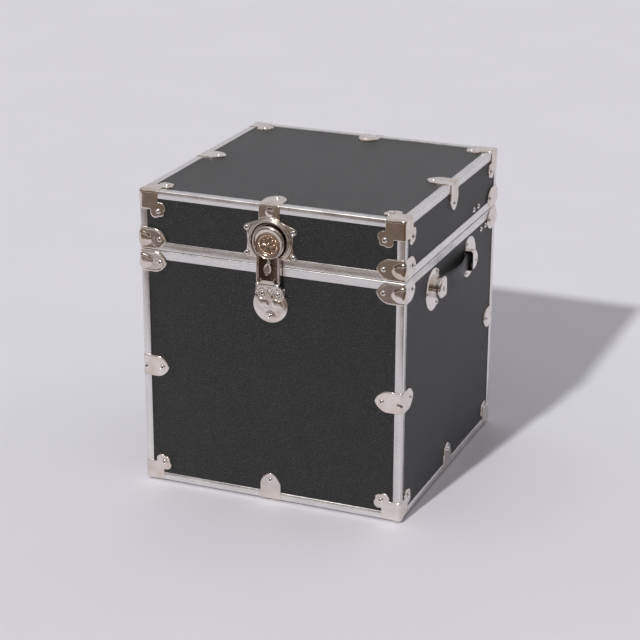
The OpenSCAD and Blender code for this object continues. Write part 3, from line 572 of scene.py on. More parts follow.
def sun(name, azimuth, elevation, power, color, spread_angle):
    """A lamp whose light travels towards an azimuth, falling at an elevation, in degrees."""
    light = bpy.data.lights.new(name, "SUN")
    light.energy = power
    light.color = color
    light.angle = math.radians(spread_angle)
    obj = bpy.data.objects.new(name, light)
    a, e = math.radians(azimuth), math.radians(elevation)
    travel = Vector((math.cos(a) * math.cos(e), math.sin(a) * math.cos(e), -math.sin(e)))
    obj.rotation_euler = travel.to_track_quat("-Z", "Y").to_euler()
    bpy.context.scene.collection.objects.link(obj)


def studio_world():
    """Pale backdrop behind the trunk, a dim brown room before it, a soft ceiling."""
    world = bpy.data.worlds.new("studio")
    world.use_nodes = True
    tree = world.node_tree
    back = tree.nodes["Background"]
    coords = node(tree, "ShaderNodeTexCoord")
    split = node(tree, "ShaderNodeSeparateXYZ")
    link(tree, coords.outputs["Generated"], split.inputs["Vector"])
    along = node(tree, "ShaderNodeVectorMath", operation="DOT_PRODUCT")
    along.inputs[1].default_value = AWAY
    link(tree, coords.outputs["Generated"], along.inputs[0])
    height = span(tree, split.outputs["Z"], 0, 1, -0.1, 1.0)
    before = ramp(tree, height, ROOM)
    behind = ramp(tree, height, BACKDROP)
    mix = mixed(tree, before, behind)
    link(tree, span(tree, along.outputs["Value"], 0, 1, -0.25, 0.30), mix.inputs["Factor"])
    link(tree, mix.outputs["Result"], back.inputs["Color"])
    back.inputs["Strength"].default_value = 0.93
    bpy.context.scene.world = world
    bpy.context.scene.view_settings.view_transform = "Standard"


ROOM = [(0.0, (0.05, 0.032, 0.022)), (0.28, (0.10, 0.07, 0.05)), (0.52, (0.20, 0.165, 0.14)),
        (0.80, (0.62, 0.60, 0.60))]
BACKDROP = [(0.0, (0.66, 0.65, 0.69)), (0.5, (0.66, 0.65, 0.69)), (0.9, (0.60, 0.59, 0.60))]


def lights():
    """A low soft key light from the front, a little to the left, and the studio round it."""
    sun("key", 81, 35.5, 2.8, (1.0, 0.985, 0.97), 2.4)
    studio_world()


def dark_card():
    """A brown board on the floor in front, seen only in reflections, like the room beyond the paper."""
    side = Vector((AWAY.y, -AWAY.x, 0))
    verts = []
    for w, s in ((-4.5, -4), (-4.5, 4), (-0.86, 4), (-0.86, -4)):
        p = AWAY * w + side * s
        verts.append((p.x / MM, p.y / MM, 3.0))
    mat, _, _ = shader("brown_board", 0, 0.8, (0.085, 0.045, 0.024))
    obj = new_object("dark_card", verts, [(0, 1, 2, 3)], mat, smooth=False)
    obj.visible_camera = False
    obj.visible_diffuse = False
    obj.visible_shadow = False


def floor():
    half = 20000.0
    verts = [(-half, -half, 0), (half, -half, 0), (half, half, 0), (-half, half, 0)]
    new_object("floor", verts, [(0, 1, 2, 3)], floor_material(), smooth=False)


camera()
lights()
floor()
dark_card()


# ---------- carried-over CAD nodes
def dress(name, material, bevel):
    obj = nodes[name]
    obj.data.materials.clear()
    obj.data.materials.append(material)
    if bevel:
        soften(obj, bevel)


for panel in [n for n in nodes if n.endswith("_panel")]:
    dress(panel, VINYL, 0.6)
for tray in ("body_lining", "lid_lining"):
    dress(tray, LINING, 0)
for part in [n for n in nodes if "hinge" in n or n.startswith("stay_") or n in ("hasp_pin", "cover_pin")]:
    if not part.endswith("rivets"):
        # Hinges take the paler nickel, whose paleness is a painted reflection of the pale floor.
        dress(part, FLOOR_REFLECTION_NICKEL, 0.25)
dress("key_plug", STEEL, 0.2)


# ---------- aluminium edging
def angle_profile():
    """Section of an edge angle, with a rounded fold at the origin, legs running to +u and +v."""
    r, t = 1.8, 1.2
    out = [(LEG, 0.25), (LEG - 0.3, 0)] + arc(r, r, r, 270, 180, 6)
    out += [(0, LEG - 0.3), (0.25, LEG), (t, LEG), (t, t + 0.3), (t + 0.3, t), (LEG, t)]
    return out


ANGLE = angle_profile()
END_GAP = 4.0


def edge_angle_set(name, level, up, body):
    """The four level angles round one end of the box, as one piece for each direction of brushing."""
    for axis in ("x", "y"):
        build = Build()
        half_len, half_out = (HALF_W, HALF_D) if axis == "x" else (HALF_D, HALF_W)
        for s in (-1, 1):
            def place(along, u, v, s=s, half_out=half_out):
                across = s * (half_out - u)
                z = level + up * v
                return (along, across, z) if axis == "x" else (across, along, z)
            ends = (END_GAP - half_len, half_len - END_GAP)
            loft(build, [[(x, u, v) for u, v in ANGLE] for x in ends], place)
            replaced = (name,) if axis == "x" else ()
        build.piece(name.replace("_angles", "_angle_") + axis, ALU[axis], body, "edging_aluminium",
                    *replaced, sharp=40)


def post_angle_set(name, body):
    """The upright angles at the four posts."""
    low, high = (v[2] for v in box_mm(name))
    build = Build()
    for sx in (-1, 1):
        for sy in (-1, 1):
            def place(along, u, v, sx=sx, sy=sy):
                return sx * (HALF_W - u), sy * (HALF_D - v), along
            loft(build, [[(z, u, v) for u, v in ANGLE] for z in (low - 0.3, high + 0.3)], place)
    build.piece(name.replace("_angles", "_edging"), ALU["z"], body, "edging_aluminium", name, sharp=40)


def rail(name, profile, body):
    """A closure rail: a closed section of (depth inside the edging's plane, height) round the box.
    Each long side is brushed along its own length."""
    build = Build()
    n = len(profile)
    corners = ((-1, -1), (1, -1), (1, 1), (-1, 1))
    verts = [(sx * (HALF_W - d), sy * (HALF_D - d), z) for sx, sy in corners for d, z in profile]
    faces = []
    for c in range(4):
        c2 = (c + 1) % 4
        for i in range(n):
            i2 = (i + 1) % n
            faces.append((c * n + i, c2 * n + i, c2 * n + i2, c * n + i2))
    build.add(verts, faces)
    obj = build.piece(name.replace("closure_", "parting_"), ALU["x"], body, "edging_aluminium", name,
                      sharp=40)
    obj.data.materials.append(ALU["y"])
    for poly in obj.data.polygons:
        xs = [obj.data.vertices[v].co.x for v in poly.vertices]
        if max(xs) - min(xs) < 0.02:
            poly.material_index = 1


edge_angle_set("bottom_edge_angles", BASE_Z, 1, "trunk")
edge_angle_set("lid_top_angles", TOP_Z, -1, "lid")
post_angle_set("body_corner_angles", "trunk")
post_angle_set("lid_corner_angles", "lid")

BODY_RAIL_TOP = SPLIT_Z - RAIL_GAP / 2
INNER = 11.2
rail("body_closure_rail", [
    (0.5, BODY_RAIL_LOW + 0.3), (0.35, BODY_RAIL_LOW + 0.8), (0.35, BODY_RAIL_TOP - 3.0),
    (0.15, BODY_RAIL_TOP - 2.5), (-0.15, BODY_RAIL_TOP - 2.0), (-0.25, BODY_RAIL_TOP - 1.2),
    (-0.1, BODY_RAIL_TOP - 0.4), (0.35, BODY_RAIL_TOP), (4.0, BODY_RAIL_TOP), (4.15, SPLIT_Z + 1.1),
    (5.05, SPLIT_Z + 1.1), (5.2, BODY_RAIL_TOP), (INNER - 0.3, BODY_RAIL_TOP), (INNER, BODY_RAIL_TOP - 0.4),
    (INNER, BODY_RAIL_TOP - 9), (INNER - 1, BODY_RAIL_TOP - 9), (INNER - 1, BODY_RAIL_TOP - 1.2),
    (1.2, BODY_RAIL_TOP - 1.2), (1.2, BODY_RAIL_LOW + 0.3)], "trunk")
LID_TOP = LID_RAIL_HIGH
rail("lid_closure_rail", [
    (1.2, LID_TOP - 0.3), (0.25, LID_TOP - 0.1), (0.0, LID_TOP - 0.6), (0.0, LID_RAIL_LOW + 2.0),
    (0.1, LID_RAIL_LOW + 1.2), (0.45, LID_RAIL_LOW + 0.4), (0.9, LID_RAIL_LOW), (3.4, LID_RAIL_LOW),
    (3.4, LID_RAIL_LOW + 1.3), (5.8, LID_RAIL_LOW + 1.3), (5.8, LID_RAIL_LOW), (INNER - 0.3, LID_RAIL_LOW),
    (INNER, LID_RAIL_LOW + 0.4), (INNER, LID_RAIL_LOW + 9), (INNER - 1, LID_RAIL_LOW + 9),
    (INNER - 1, LID_RAIL_LOW + 1.6), (1.2, LID_RAIL_LOW + 1.6)], "lid")


# ---------- rivets
RIVET = [(0, 0.9), (0.8, 0.9), (1.2, 1.2), (1.5, 1.95), (2.0, 2.35), (2.6, 2.3), (3.3, 1.95),
         (3.95, 1.25), (4.35, 0.5), (4.5, 0.0), (2.0, -0.1)]
RIVET_TOP = max(h for _, h in RIVET)
CLINCH = [(2.0, 0.0), (3.8, -0.05), (3.8, -0.5), (3.0, -0.85), (1.9, -0.8), (1.5, -0.45), (0, -0.4)]


def rivet_ends(name):
    """For each rivet of a CAD node: the seat of its head, its outward axis and the length of its grip."""
    mesh = nodes[name].data
    parent = list(range(len(mesh.vertices)))

    def find(i):
        while parent[i] != i:
            parent[i] = parent[parent[i]]
            i = parent[i]
        return i
    spots = {}
    for v in mesh.vertices:
        key = tuple(round(c * 1e6) for c in v.co)
        parent[find(v.index)] = find(spots.setdefault(key, v.index))
    for e in mesh.edges:
        parent[find(e.vertices[0])] = find(e.vertices[1])
    groups = {}
    for v in mesh.vertices:
        groups.setdefault(find(v.index), []).append(v.co / MM)
    out = []
    for pts in groups.values():
        arr = np.array([tuple(p) for p in pts])
        low, high = arr.min(0), arr.max(0)
        axis = int(np.argmax(high - low))
        centre = (low + high) / 2
        mid = (BASE_Z + TOP_Z) / 2 if axis == 2 else 0
        sign = 1 if centre[axis] > mid else -1
        head = high[axis] if sign > 0 else low[axis]
        tail = low[axis] if sign > 0 else high[axis]
        seat = centre.copy()
        seat[axis] = head - sign * RIVET_TOP
        out.append((seat, axis, sign, abs(head - tail) - RIVET_TOP - 0.8))
    out.sort(key=lambda item: tuple(np.round(item[0], 3)))
    return out


def rivet_piece(name, body):
    """All rivets of one CAD node, with painted shade in the dimple and a painted contact shadow round the
    foot of each head.
    """
    build = Build()
    for seat, axis, sign, grip in rivet_ends(name):
        def place(u, v, h, seat=seat, axis=axis, sign=sign):
            p = [0, 0, 0]
            p[axis] = seat[axis] + sign * h
            p[(axis + 1) % 3] = seat[(axis + 1) % 3] + u * sign
            p[(axis + 2) % 3] = seat[(axis + 2) % 3] + v
            return tuple(p)
        profile = RIVET + [(r, h - grip) for r, h in CLINCH]
        lathe(build, profile, place, 20)
    obj = build.piece(name.replace("_rivets", "_rivet_heads"), RIVET_NICKEL, body, "nickel_hardware", name,
                      sharp=50)
    obj.data.materials.append(PAINTED_SHADE_NICKEL)
    rows = len(RIVET) + len(CLINCH) - 1
    for poly in obj.data.polygons:
        # Faces of the dimple and of the head's foot get the near-black nickel: painted shade and painted
        # contact shadow.
        if poly.index % rows in (0, 1, 2, 8):
            poly.material_index = 1


for rivets, body in (("body_rivets", "trunk"), ("bottom_rivets", "trunk"), ("hasp_leaf_rivets", "trunk"),
                     ("handle_rivets", "trunk"), ("hinge_body_rivets", "trunk"), ("lid_rivets", "lid"),
                     ("lock_rivets", "lid"), ("hinge_lid_rivets", "lid")):
    rivet_piece(rivets, body)


# ---------- corner caps
CAP_SIDE = 31.0
CAP_RIVET = 32.0


def cap_patch():
    """Points and triangles of one face of a cap, in mm inwards from the cap's outer corner."""
    side = CAP_SIDE + SHEET
    c = CAP_RIVET + SHEET

    def distance(x, y):
        square = box_d(x, y, -20, side, -20, side)
        lobes = circle_d(x, y, c + 3, c - 5.5, 8.5)
        lobes = blend_min(lobes, circle_d(x, y, c - 5.5, c + 3, 8.5), 1.0)
        lobes = blend_min(lobes, circle_d(x, y, c + 3.2, c + 3.2, 6.0), 1.0)
        return blend_min(square, lobes, 1.6)
    centre = (22.0, 22.0)
    a0, a1 = math.atan2(-22, side - 22), math.atan2(side - 22, -22)
    free = contour(distance, centre, np.linspace(a0, a1, 400), 60)
    free = spread(free, 1.3, closed=False)
    free[0], free[-1] = (side, 0), (0, side)
    count = 20
    edge = np.linspace(0, side, count + 1)
    outline = np.vstack([np.stack([edge[:-1], 0 * edge[:-1]], 1), free,
                         np.stack([0 * edge[1:-1], edge[1:-1][::-1]], 1)])
    pts, tris, d = fill(outline, 1.9, (0.45, 1.1), rim=free)
    return pts, tris, d


CAP_PATCH = cap_patch()


def corner_cap(build, sx, sy, level, up):
    """One three-faced cap, its folds and its corner rounded, on the corner at (sx, sy, level)."""
    pts, tris, d = CAP_PATCH
    round_r = 5.5
    top, bottom, faces = [], [], []
    for turn in range(3):
        base = len(top)
        for (a, b), fall in zip(pts, rim_fall(d)):
            sharp = np.roll(np.array([a, b, 0.0]), turn)
            core = np.maximum(sharp, round_r)
            normal = (sharp - core) / np.linalg.norm(sharp - core)
            ball = 1.1 * math.exp(-(a * a + b * b) / 130.0)
            out = core + normal * (round_r + ball - fall)
            inn = core + normal * (round_r - PAD)
            for where, p in ((top, out), (bottom, inn)):
                q = p - SHEET
                where.append((sx * (HALF_W - q[0]), sy * (HALF_D - q[1]), level + up * q[2]))
        faces += [tuple(base + i for i in t) for t in tris]
    merged_top, merged_bottom, faces = merge_shared(top, bottom, faces)
    shell(build, merged_top, faces, merged_top, merged_bottom)


def merge_shared(top, bottom, faces):
    """Welds vertices of patches that share an edge, keeping top and bottom in step."""
    seen, index, new_top, new_bottom = {}, [], [], []
    for p, q in zip(top, bottom):
        key = tuple(round(c, 2) for c in p)
        if key not in seen:
            seen[key] = len(new_top)
            new_top.append(p)
            new_bottom.append(q)
        index.append(seen[key])
    merged = []
    for face in faces:
        f = tuple(index[i] for i in face)
        if len(set(f)) == len(f):
            merged.append(f)
    return new_top, new_bottom, merged


def cap_set(name, level, up, body):
    build = Build()
    for sx in (-1, 1):
        for sy in (-1, 1):
            corner_cap(build, sx, sy, level, up)
    # Bottom caps take the paler nickel (painted reflection of the pale floor); lid caps take the plain
    # nickel.
    build.piece(name.replace("_corner_caps", "_cap_shells"), NICKEL if up < 0 else FLOOR_REFLECTION_NICKEL, body,
                "nickel_hardware", name, sharp=60)


cap_set("bottom_corner_caps", BASE_Z, 1, "trunk")
cap_set("lid_corner_caps", TOP_Z, -1, "lid")


# ---------- clamps folded over the edges
CLAMP_L = 44.5
CLAMP_W = box_mm("lock_edge_clamp")[1][0] - box_mm("lock_edge_clamp")[0][0]
QUARTER = FOLD_R * math.pi / 4


def fold_place(origin, along, in_1, in_2):
    """Places (u along the edge, s across the fold, h outwards) on a plate folded over an edge.
    s below 0 lies on the face that runs along in_1, and s above 0 on the one along in_2."""
    origin, along = np.array(origin, float), np.array(along, float)
    in_1, in_2 = np.array(in_1, float), np.array(in_2, float)
    out_1, out_2 = -in_2, -in_1
    centre = origin + (FOLD_R - SHEET) * (in_1 + in_2)

    def place(u, s, h):
        turn = math.pi / 4 + max(-QUARTER, min(QUARTER, s)) / FOLD_R
        normal = math.cos(turn) * out_1 + math.sin(turn) * out_2
        flat = max(0.0, -s - QUARTER) * in_1 + max(0.0, s - QUARTER) * in_2
        return tuple(centre + along * u + normal * (FOLD_R + h - SHEET) + flat)
    return place


def clamp_outline(width):
    """Outline of an unfolded clamp: a pointed arch at each end."""
    tip = CLAMP_L - FOLD_R + SHEET + QUARTER
    half = width / 2
    rise = 24.0
    wide = half + 0.5
    shift = (rise * rise - wide * wide) / (2 * wide)
    r = wide + shift

    def distance(x, y):
        reach = np.abs(y) - (tip - rise)
        return np.maximum(np.hypot(np.abs(x) + shift, np.maximum(reach, 0)) - r, np.abs(x) - half)
    return round_outline(distance, (0, 0), 720, 90, 1.1)


def gusset(u, s):
    """A small triangle pressed into the fold."""
    depth = np.clip(1 - np.abs(u) / (6.2 * (1 - np.abs(s) / 11.0).clip(0.05)), 0, 1)
    return -1.3 * smooth_step(depth, 0, 0.9) * smooth_step(9.5 - np.abs(s), 0, 3)


def oval_bulge(u, s):
    """A broad oval raised across the fold."""
    r = np.sqrt((u / 13.0) ** 2 + (s / 21.0) ** 2)
    return 2.4 * np.sqrt(np.clip(1 - r * r, 0, 1)) * smooth_step(1.0 - r, 0, 0.25)


def swage(s):
    """Soft raised border that follows the tongue of an edge clamp."""
    return 0.25 * smooth_step(np.abs(s), 14, 18)


CLAMP_SHAPE = fill(clamp_outline(CLAMP_W), 1.8, (0.45, 1.1))
CLOSURE_SHAPE = fill(clamp_outline(34.0), 1.7, (0.45, 1.1))


def clamp(build, shape, place, relief, pad=PAD):
    pts, tris, d = shape
    lip = 0.3 * np.exp(-((d - 1.5) / 0.8) ** 2)
    h = SHEET + relief(pts[:, 0], pts[:, 1]) + lip
    h = h - rim_fall(d)
    top = [place(p[0], p[1], z) for p, z in zip(pts, h)]
    bottom = [place(p[0], p[1], SHEET - pad) for p in pts]
    shell(build, pts, tris, top, bottom)


def clamp_piece(name, places, shape, relief, body, material, pad=PAD):
    build = Build()
    for place in places:
        clamp(build, shape, place, relief, pad)
    build.piece(name.replace("_clamps", "_clamp_shells"), material, body, "nickel_hardware", name,
                sharp=60)


def edge_relief(u, s):
    return gusset(u, s) + swage(s)


def level_clamps(name, level, up, sides, body, material):
    """Clamps over the middle of the level edges on some sides."""
    directions = (((1, 0, 0), (0, 1, 0)), ((0, 1, 0), (-1, 0, 0)),
                  ((-1, 0, 0), (0, -1, 0)), ((0, -1, 0), (1, 0, 0)))
    places = []
    for side in sides:
        along, inward = directions[side]
        reach = HALF_D if side % 2 == 0 else HALF_W
        origin = (-inward[0] * reach, -inward[1] * reach, level)
        places.append(fold_place(origin, along, inward, (0, 0, up)))
    clamp_piece(name, places, CLAMP_SHAPE, edge_relief, body, material)


def post_clamp_set(name, shape, relief, body, material, pad=PAD):
    """Clamps round the four posts, at the height of their CAD node."""
    places = [fold_place((sx * HALF_W, sy * HALF_D, middle(name)), (0, 0, 1), (-sx, 0, 0), (0, -sy, 0))
              for sx in (-1, 1) for sy in (-1, 1)]
    clamp_piece(name, places, shape, relief, body, material, pad)


def middle(name):
    low, high = box_mm(name)
    return (low[2] + high[2]) / 2


# Trunk clamps take the paler nickel, a painted reflection of the pale floor; lid clamps take the plain
# nickel.
level_clamps("bottom_edge_clamps", BASE_Z, 1, (0, 1, 2, 3), "trunk", FLOOR_REFLECTION_NICKEL)
level_clamps("lid_edge_clamps", TOP_Z, -1, (1, 2, 3), "lid", NICKEL)
post_clamp_set("post_clamps", CLAMP_SHAPE, edge_relief, "trunk", FLOOR_REFLECTION_NICKEL)
post_clamp_set("body_closure_clamps", CLOSURE_SHAPE, oval_bulge, "trunk", FLOOR_REFLECTION_NICKEL, SHEET)
post_clamp_set("lid_closure_clamps", CLOSURE_SHAPE, oval_bulge, "lid", NICKEL, SHEET)


# ---------- lock: clamp, plate and ring
def centre_x(name):
    low, high = box_mm(name)
    return (low[0] + high[0]) / 2


LOCK_X = centre_x("hasp")
RING_R = 36.0
RING_Z = box_mm("lock_plate")[1][2] - RING_R
HEAD_Z = RING_Z - 1.0
PIN_Z = middle("hasp_pin")
PIN_OUT = -HALF_D - (box_mm("hasp_pin")[0][1] + box_mm("hasp_pin")[1][1]) / 2
EAR_X, EAR_R = 38.0, 6.0
EAR_LOW, EAR_TOP = RING_Z - 22.0, RING_Z + 17.5
EARS = [(s * EAR_X, z) for z in (EAR_LOW, EAR_TOP) for s in (-1, 1)]
WAIST_R = 41.0        # radius of the hollow between two ears
lock_place = moved(side_place(0), LOCK_X, 0)


def lock_clamp():
    """The front clamp, cut short by the ring of the lock plate, with a round boss under the fold."""
    ring_s = TOP_Z - RING_Z - FOLD_R + SHEET + QUARTER
    clear_r = RING_R + 0.4
    outline = clamp_outline(CLAMP_W)
    away = np.hypot(outline[:, 0] - LOCK_X, outline[:, 1] - ring_s)
    for k in np.where((away < clear_r) & (outline[:, 1] > 0))[0]:
        x = outline[k, 0] - LOCK_X
        outline[k, 1] = ring_s - math.sqrt(max(clear_r ** 2 - x * x, 0.0))
    outline = outline[np.append(True, np.hypot(*np.diff(outline, axis=0).T) > 0.2)]
    shape = fill(outline, 1.7, (0.45, 1.1))
    build = Build()
    place = fold_place((0, -HALF_D, TOP_Z), (1, 0, 0), (0, 1, 0), (0, 0, -1))

    def relief(u, s):
        spot = np.hypot(u - LOCK_X, s - 12.0)
        return (edge_relief(u, s) * (s < 0)
                + 1.1 * np.sqrt(np.clip(1 - (spot / 6.8) ** 2, 0, 1)))
    clamp(build, shape, place, relief)
    build.piece("lock_clamp_shell", NICKEL, "lid", "nickel_hardware", "lock_edge_clamp", sharp=60)


def lock_plate_piece():
    """Four-eared plate with the stepped ring that stands round the hasp's head."""
    def distance(x, y):
        ax = np.abs(x)
        d = box_d(x, y, -EAR_X, EAR_X, EAR_LOW - EAR_R, EAR_TOP)
        waist = np.hypot(ax - EAR_X - WAIST_R + 1, y - (EAR_LOW + EAR_TOP) / 2)
        d = np.maximum(d, WAIST_R - waist)
        shoulder = ((ax - EAR_X - 1.5) * 8.4 + (y - EAR_TOP - 5.8) * 22.5) / 24.0
        d = np.minimum(d, np.maximum.reduce([shoulder, ax - EAR_X, RING_Z + 7 - y]))
        for ear in EARS:
            d = blend_min(d, circle_d(x, y, *ear, EAR_R), 1.0)
        d = blend_min(d, circle_d(x, y, 0, RING_Z, RING_R), 1.0)
        return np.maximum(d, -box_d(x, y, -20.5, 20.5, RING_Z - 60, RING_Z - 22))
    outline = round_outline(distance, (0, RING_Z + 33), 4000, 99, 1.2)
    build = Build()

    def relief(u, v):
        near = nearest(u, v, EARS)
        step_round_ring = 0.5 * smooth_step(RING_R + 4.5 - np.hypot(u, v - RING_Z), 0, 3)
        return step_round_ring - 0.35 * smooth_step(EAR_R - near, 0, 1.5)
    pressed(build, outline, lock_place, relief, step=1.9)
    ring = [(27.0, 0.6), (35.9, 0.6), (36.0, 1.6), (35.7, 2.6), (35.2, 3.4), (34.6, 3.7), (34.2, 3.75),
            (34.0, 4.3), (33.6, 5.0), (33.0, 5.6), (32.2, 5.95), (31.4, 6.0), (30.6, 5.7), (30.0, 5.1),
            (29.4, 4.2), (28.6, 3.4), (27.6, 2.9), (27.0, 2.8)]
    lathe(build, ring, moved(lock_place, 0, RING_Z), 72, -50, 280)
    build.piece("lock_plate_shell", NICKEL, "lid", "nickel_hardware", "lock_plate", sharp=50)


# ---------- hasp
BOWL_DOWN = 3.2       # the bowl sits lower than the middle of the head
BOWL_R = 19.4
HEAD_R = 26.0
FLOOR_H = 8.2


def disc(build, radius, place, height, low, rings=22, steps=96):
    """A closed round plate with a height for each (u, v)."""
    verts, faces = [place(0, 0, float(height(0.0, 0.0)))], []
    for j in range(1, rings + 1):
        r = radius * j / rings
        for k in range(steps):
            a = 2 * math.pi * k / steps
            u, v = r * math.cos(a), r * math.sin(a)
            verts.append(place(u, v, float(height(u, v))))
    for k in range(steps):
        k2 = (k + 1) % steps
        faces.append((0, 1 + k, 1 + k2))
        for j in range(rings - 1):
            a, b = 1 + j * steps, 1 + (j + 1) * steps
            faces.append((a + k, b + k, b + k2, a + k2))
    base = len(verts)
    for k in range(steps):
        a = 2 * math.pi * k / steps
        verts.append(place(radius * math.cos(a), radius * math.sin(a), low))
    verts.append(place(0, 0, low))
    outer = 1 + (rings - 1) * steps
    for k in range(steps):
        k2 = (k + 1) % steps
        faces.append((outer + k, base + k, base + k2, outer + k2))
        faces.append((base + k2, base + k, base + steps))
    build.add(verts, faces)


def head_height(u, v):
    """Height of the hasp's head: a broad convex border round a bowl that sits a little low."""
    out = HEAD_R - math.hypot(u, v)
    inner = math.hypot(u, v + BOWL_DOWN) - BOWL_R
    if inner <= 0:
        return 8.0
    t = out / (out + inner)
    rise = 0.5 * t / 0.36 if t < 0.36 else 0.5 + 0.5 * (t - 0.36) / 0.64
    return 8.3 + 2.3 * max(0.0, math.sin(math.pi * min(1.0, rise))) ** 0.6


def strap_section():
    """Section of the channel strap, (across, height), from its foot to the ring."""
    half, low = 19.5, 1.7
    side = [(-half + 1.2, 7.0), (-half + 1.2, low), (-half, low), (-half, 8.9), (-half + 0.15, 9.5),
            (-half + 0.6, 10.0), (-half + 1.3, 10.2), (-half + 2.1, 10.1), (-half + 2.7, 9.7),
            (-half + 3.1, 9.0), (-half + 3.6, 8.4), (-half + 4.3, FLOOR_H)]
    return side + [(-u, h) for u, h in reversed(side)]


def rod(build, place, v, h, start, end, radius):
    """A rolled barrel along u, centred on (v, h)."""
    steps, round_end = 28, 0.4
    rows = [(start, radius - round_end), (start + round_end, radius), (end - round_end, radius),
            (end, radius - round_end)]
    sections = [[(u, v + r * math.cos(2 * math.pi * k / steps), h + r * math.sin(2 * math.pi * k / steps))
                 for k in range(steps)] for u, r in rows]
    loft(build, sections, place)


KNUCKLES = [(-19.0, -13.4), (-13.0, 11.0), (11.4, 19.0)]


def hasp_piece():
    build = Build()
    disc(build, HEAD_R, moved(lock_place, 0, HEAD_Z), head_height, 6.4, rings=40, steps=120)
    foot, top = PIN_Z + 2.2, HEAD_Z - 21.0
    section = strap_section()
    levels = [foot, foot + 1.2, foot + 6, (foot + top) / 2, top]
    sections = []
    for z in levels:
        shrink = 0.6 if z == foot else 0.0
        flange = 7.1 if z < foot + 3 else 1.7
        sections.append([(u * (1 - shrink / 20), z, flange if h < 6 else h) for u, h in section])
    loft(build, sections, lock_place)
    left, right = KNUCKLES[1]
    rod(build, lock_place, PIN_Z, PIN_OUT, left, right, 3.6)
    web = [(PIN_Z + 0.5, PIN_OUT - 2.4), (PIN_Z + 6.0, FLOOR_H - 1.2), (PIN_Z + 6.0, FLOOR_H + 0.1),
           (PIN_Z + 4.4, FLOOR_H + 0.9), (PIN_Z + 3.0, PIN_OUT + 2.2), (PIN_Z + 0.8, PIN_OUT + 3.4)]
    loft(build, [[(u, v, h) for v, h in web] for u in (left, right)], lock_place)
    for u in (left, right - 2.8):
        tab = [(u, PIN_Z + 2.4), (u + 2.8, PIN_Z + 2.4), (u + 2.8, PIN_Z + 8.2)] \
            + arc(u + 1.4, PIN_Z + 8.4, 1.4, 0, 180, 5) + [(u, PIN_Z + 8.2)]
        loft(build, [[(x, y, h) for x, y in tab] for h in (FLOOR_H - 0.4, FLOOR_H + 1.9)], lock_place)
    obj = build.piece("hasp_strap", NICKEL, "hasp", "nickel_hardware", "hasp", sharp=42)
    obj.data.materials.append(PAINTED_SHADE_NICKEL)
    # The channel's floor between the rims gets the near-black nickel: painted shade and painted dark
    # reflection.
    for poly in obj.data.polygons:
        corners = [obj.data.vertices[i].co / MM for i in poly.vertices]
        across = max(abs(c.x - LOCK_X) for c in corners)
        out = [-HALF_D - c.y for c in corners]
        if across < 15.6 and max(c.z for c in corners) < HEAD_Z - 20 and max(out) < 8.5 and min(out) > 8.0:
            poly.material_index = 1


def medallion_height(u, v):
    """A wide shallow dish with a rosette of eight veined petals, a beaded ring and a boss."""
    r = math.hypot(u, v)
    a = math.atan2(v, u)
    h = 8.35 + 0.9 * (r / BOWL_R) ** 3
    if r < 2.6:
        return h + 0.35 + 1.3 * math.sqrt(max(0.0, 1 - (r / 2.8) ** 2))
    petal = abs(((a * 4 / math.pi + 0.5) % 1.0) - 0.5) * 2
    along = (r - 2.6) / 9.6
    if along < 1:
        width = 0.82 * math.sin(math.pi * min(1, along * 0.9 + 0.12)) ** 0.6
        if petal < width:
            t = petal / width
            h += 1.25 * (1 - t * t) ** 0.5 - 0.45 * math.exp(-(petal / 0.12) ** 2)
    bead = math.hypot(r - 14.2, (((a * 15 / math.pi) % 1.0) - 0.5) * math.pi / 15 * 14.2)
    if bead < 1.2:
        h += 0.95 * math.sqrt(1 - (bead / 1.2) ** 2)
    h += 0.45 * math.exp(-((r - 16.6) / 0.6) ** 2)
    return h


def medallion_piece():
    build = Build()
    disc(build, BOWL_R + 0.3, moved(lock_place, 0, HEAD_Z - BOWL_DOWN), medallion_height, 7.6, rings=64,
         steps=192)
    # Brown nickel: the dish's brown is a painted reflection of the dim brown room.
    build.piece("hasp_rosette", ROOM_REFLECTION_NICKEL, "hasp", "nickel_hardware", "hasp_medallion", sharp=70)


def keyhole_cover_piece():
    """Swinging oval cover: a raised rim, a hollow middle and an eye at its top."""
    half, length = 6.4, 23.0
    rise = length / 2
    shift = (rise * rise - half * half) / (2 * half)
    mid = -rise + 0.5

    def distance(x, y):
        d = np.hypot(np.abs(x) + shift, y - mid) - (half + shift)
        return blend_min(d, circle_d(x, y, 0, 0, 3.1), 0.8)
    outline = round_outline(distance, (0, mid), 900, 30, 0.7)

    def relief(u, v):
        d = edge_distance(np.stack([u, v], 1), outline)
        knob = np.hypot(u, v)
        h = 0.95 * np.exp(-((d - 1.0) / 0.75) ** 2) - 0.25 * smooth_step(d, 1.8, 3.0)
        h += 0.15 * np.exp(-((np.abs(u) - 0.0) / 0.5) ** 2) * (d > 2.6)
        return np.maximum(h, 0.9 * smooth_step(3.0 - knob, 0, 0.9))
    build = Build()
    low = -HALF_D - box_mm("keyhole_cover")[1][1]
    pivot = box_mm("cover_pin")
    x = (pivot[0][0] + pivot[1][0]) / 2 - LOCK_X
    z = (pivot[0][2] + pivot[1][2]) / 2
    place = moved(lock_place, x, z, -10.0)
    pressed(build, outline, place, relief, step=0.8, edge_drop=0.5, edge_w=0.8, level=low + 1.3, low=low,
            rings=(0.3, 0.7))
    build.piece("keyhole_shutter", NICKEL, "keyhole_cover", "nickel_hardware", "keyhole_cover", sharp=60)


# ---------- plates under the hasp
LEAF_Z = PIN_Z - 16.5
LOBES = ((-12.5, LEAF_Z), (12.5, LEAF_Z))
LOBE_R = 12.2
SHIELD_R = 28.3
SHIELD_Z = box_mm("hasp_mount_plate")[0][2] + SHIELD_R
FOOT_Z = SHIELD_Z - 17.0


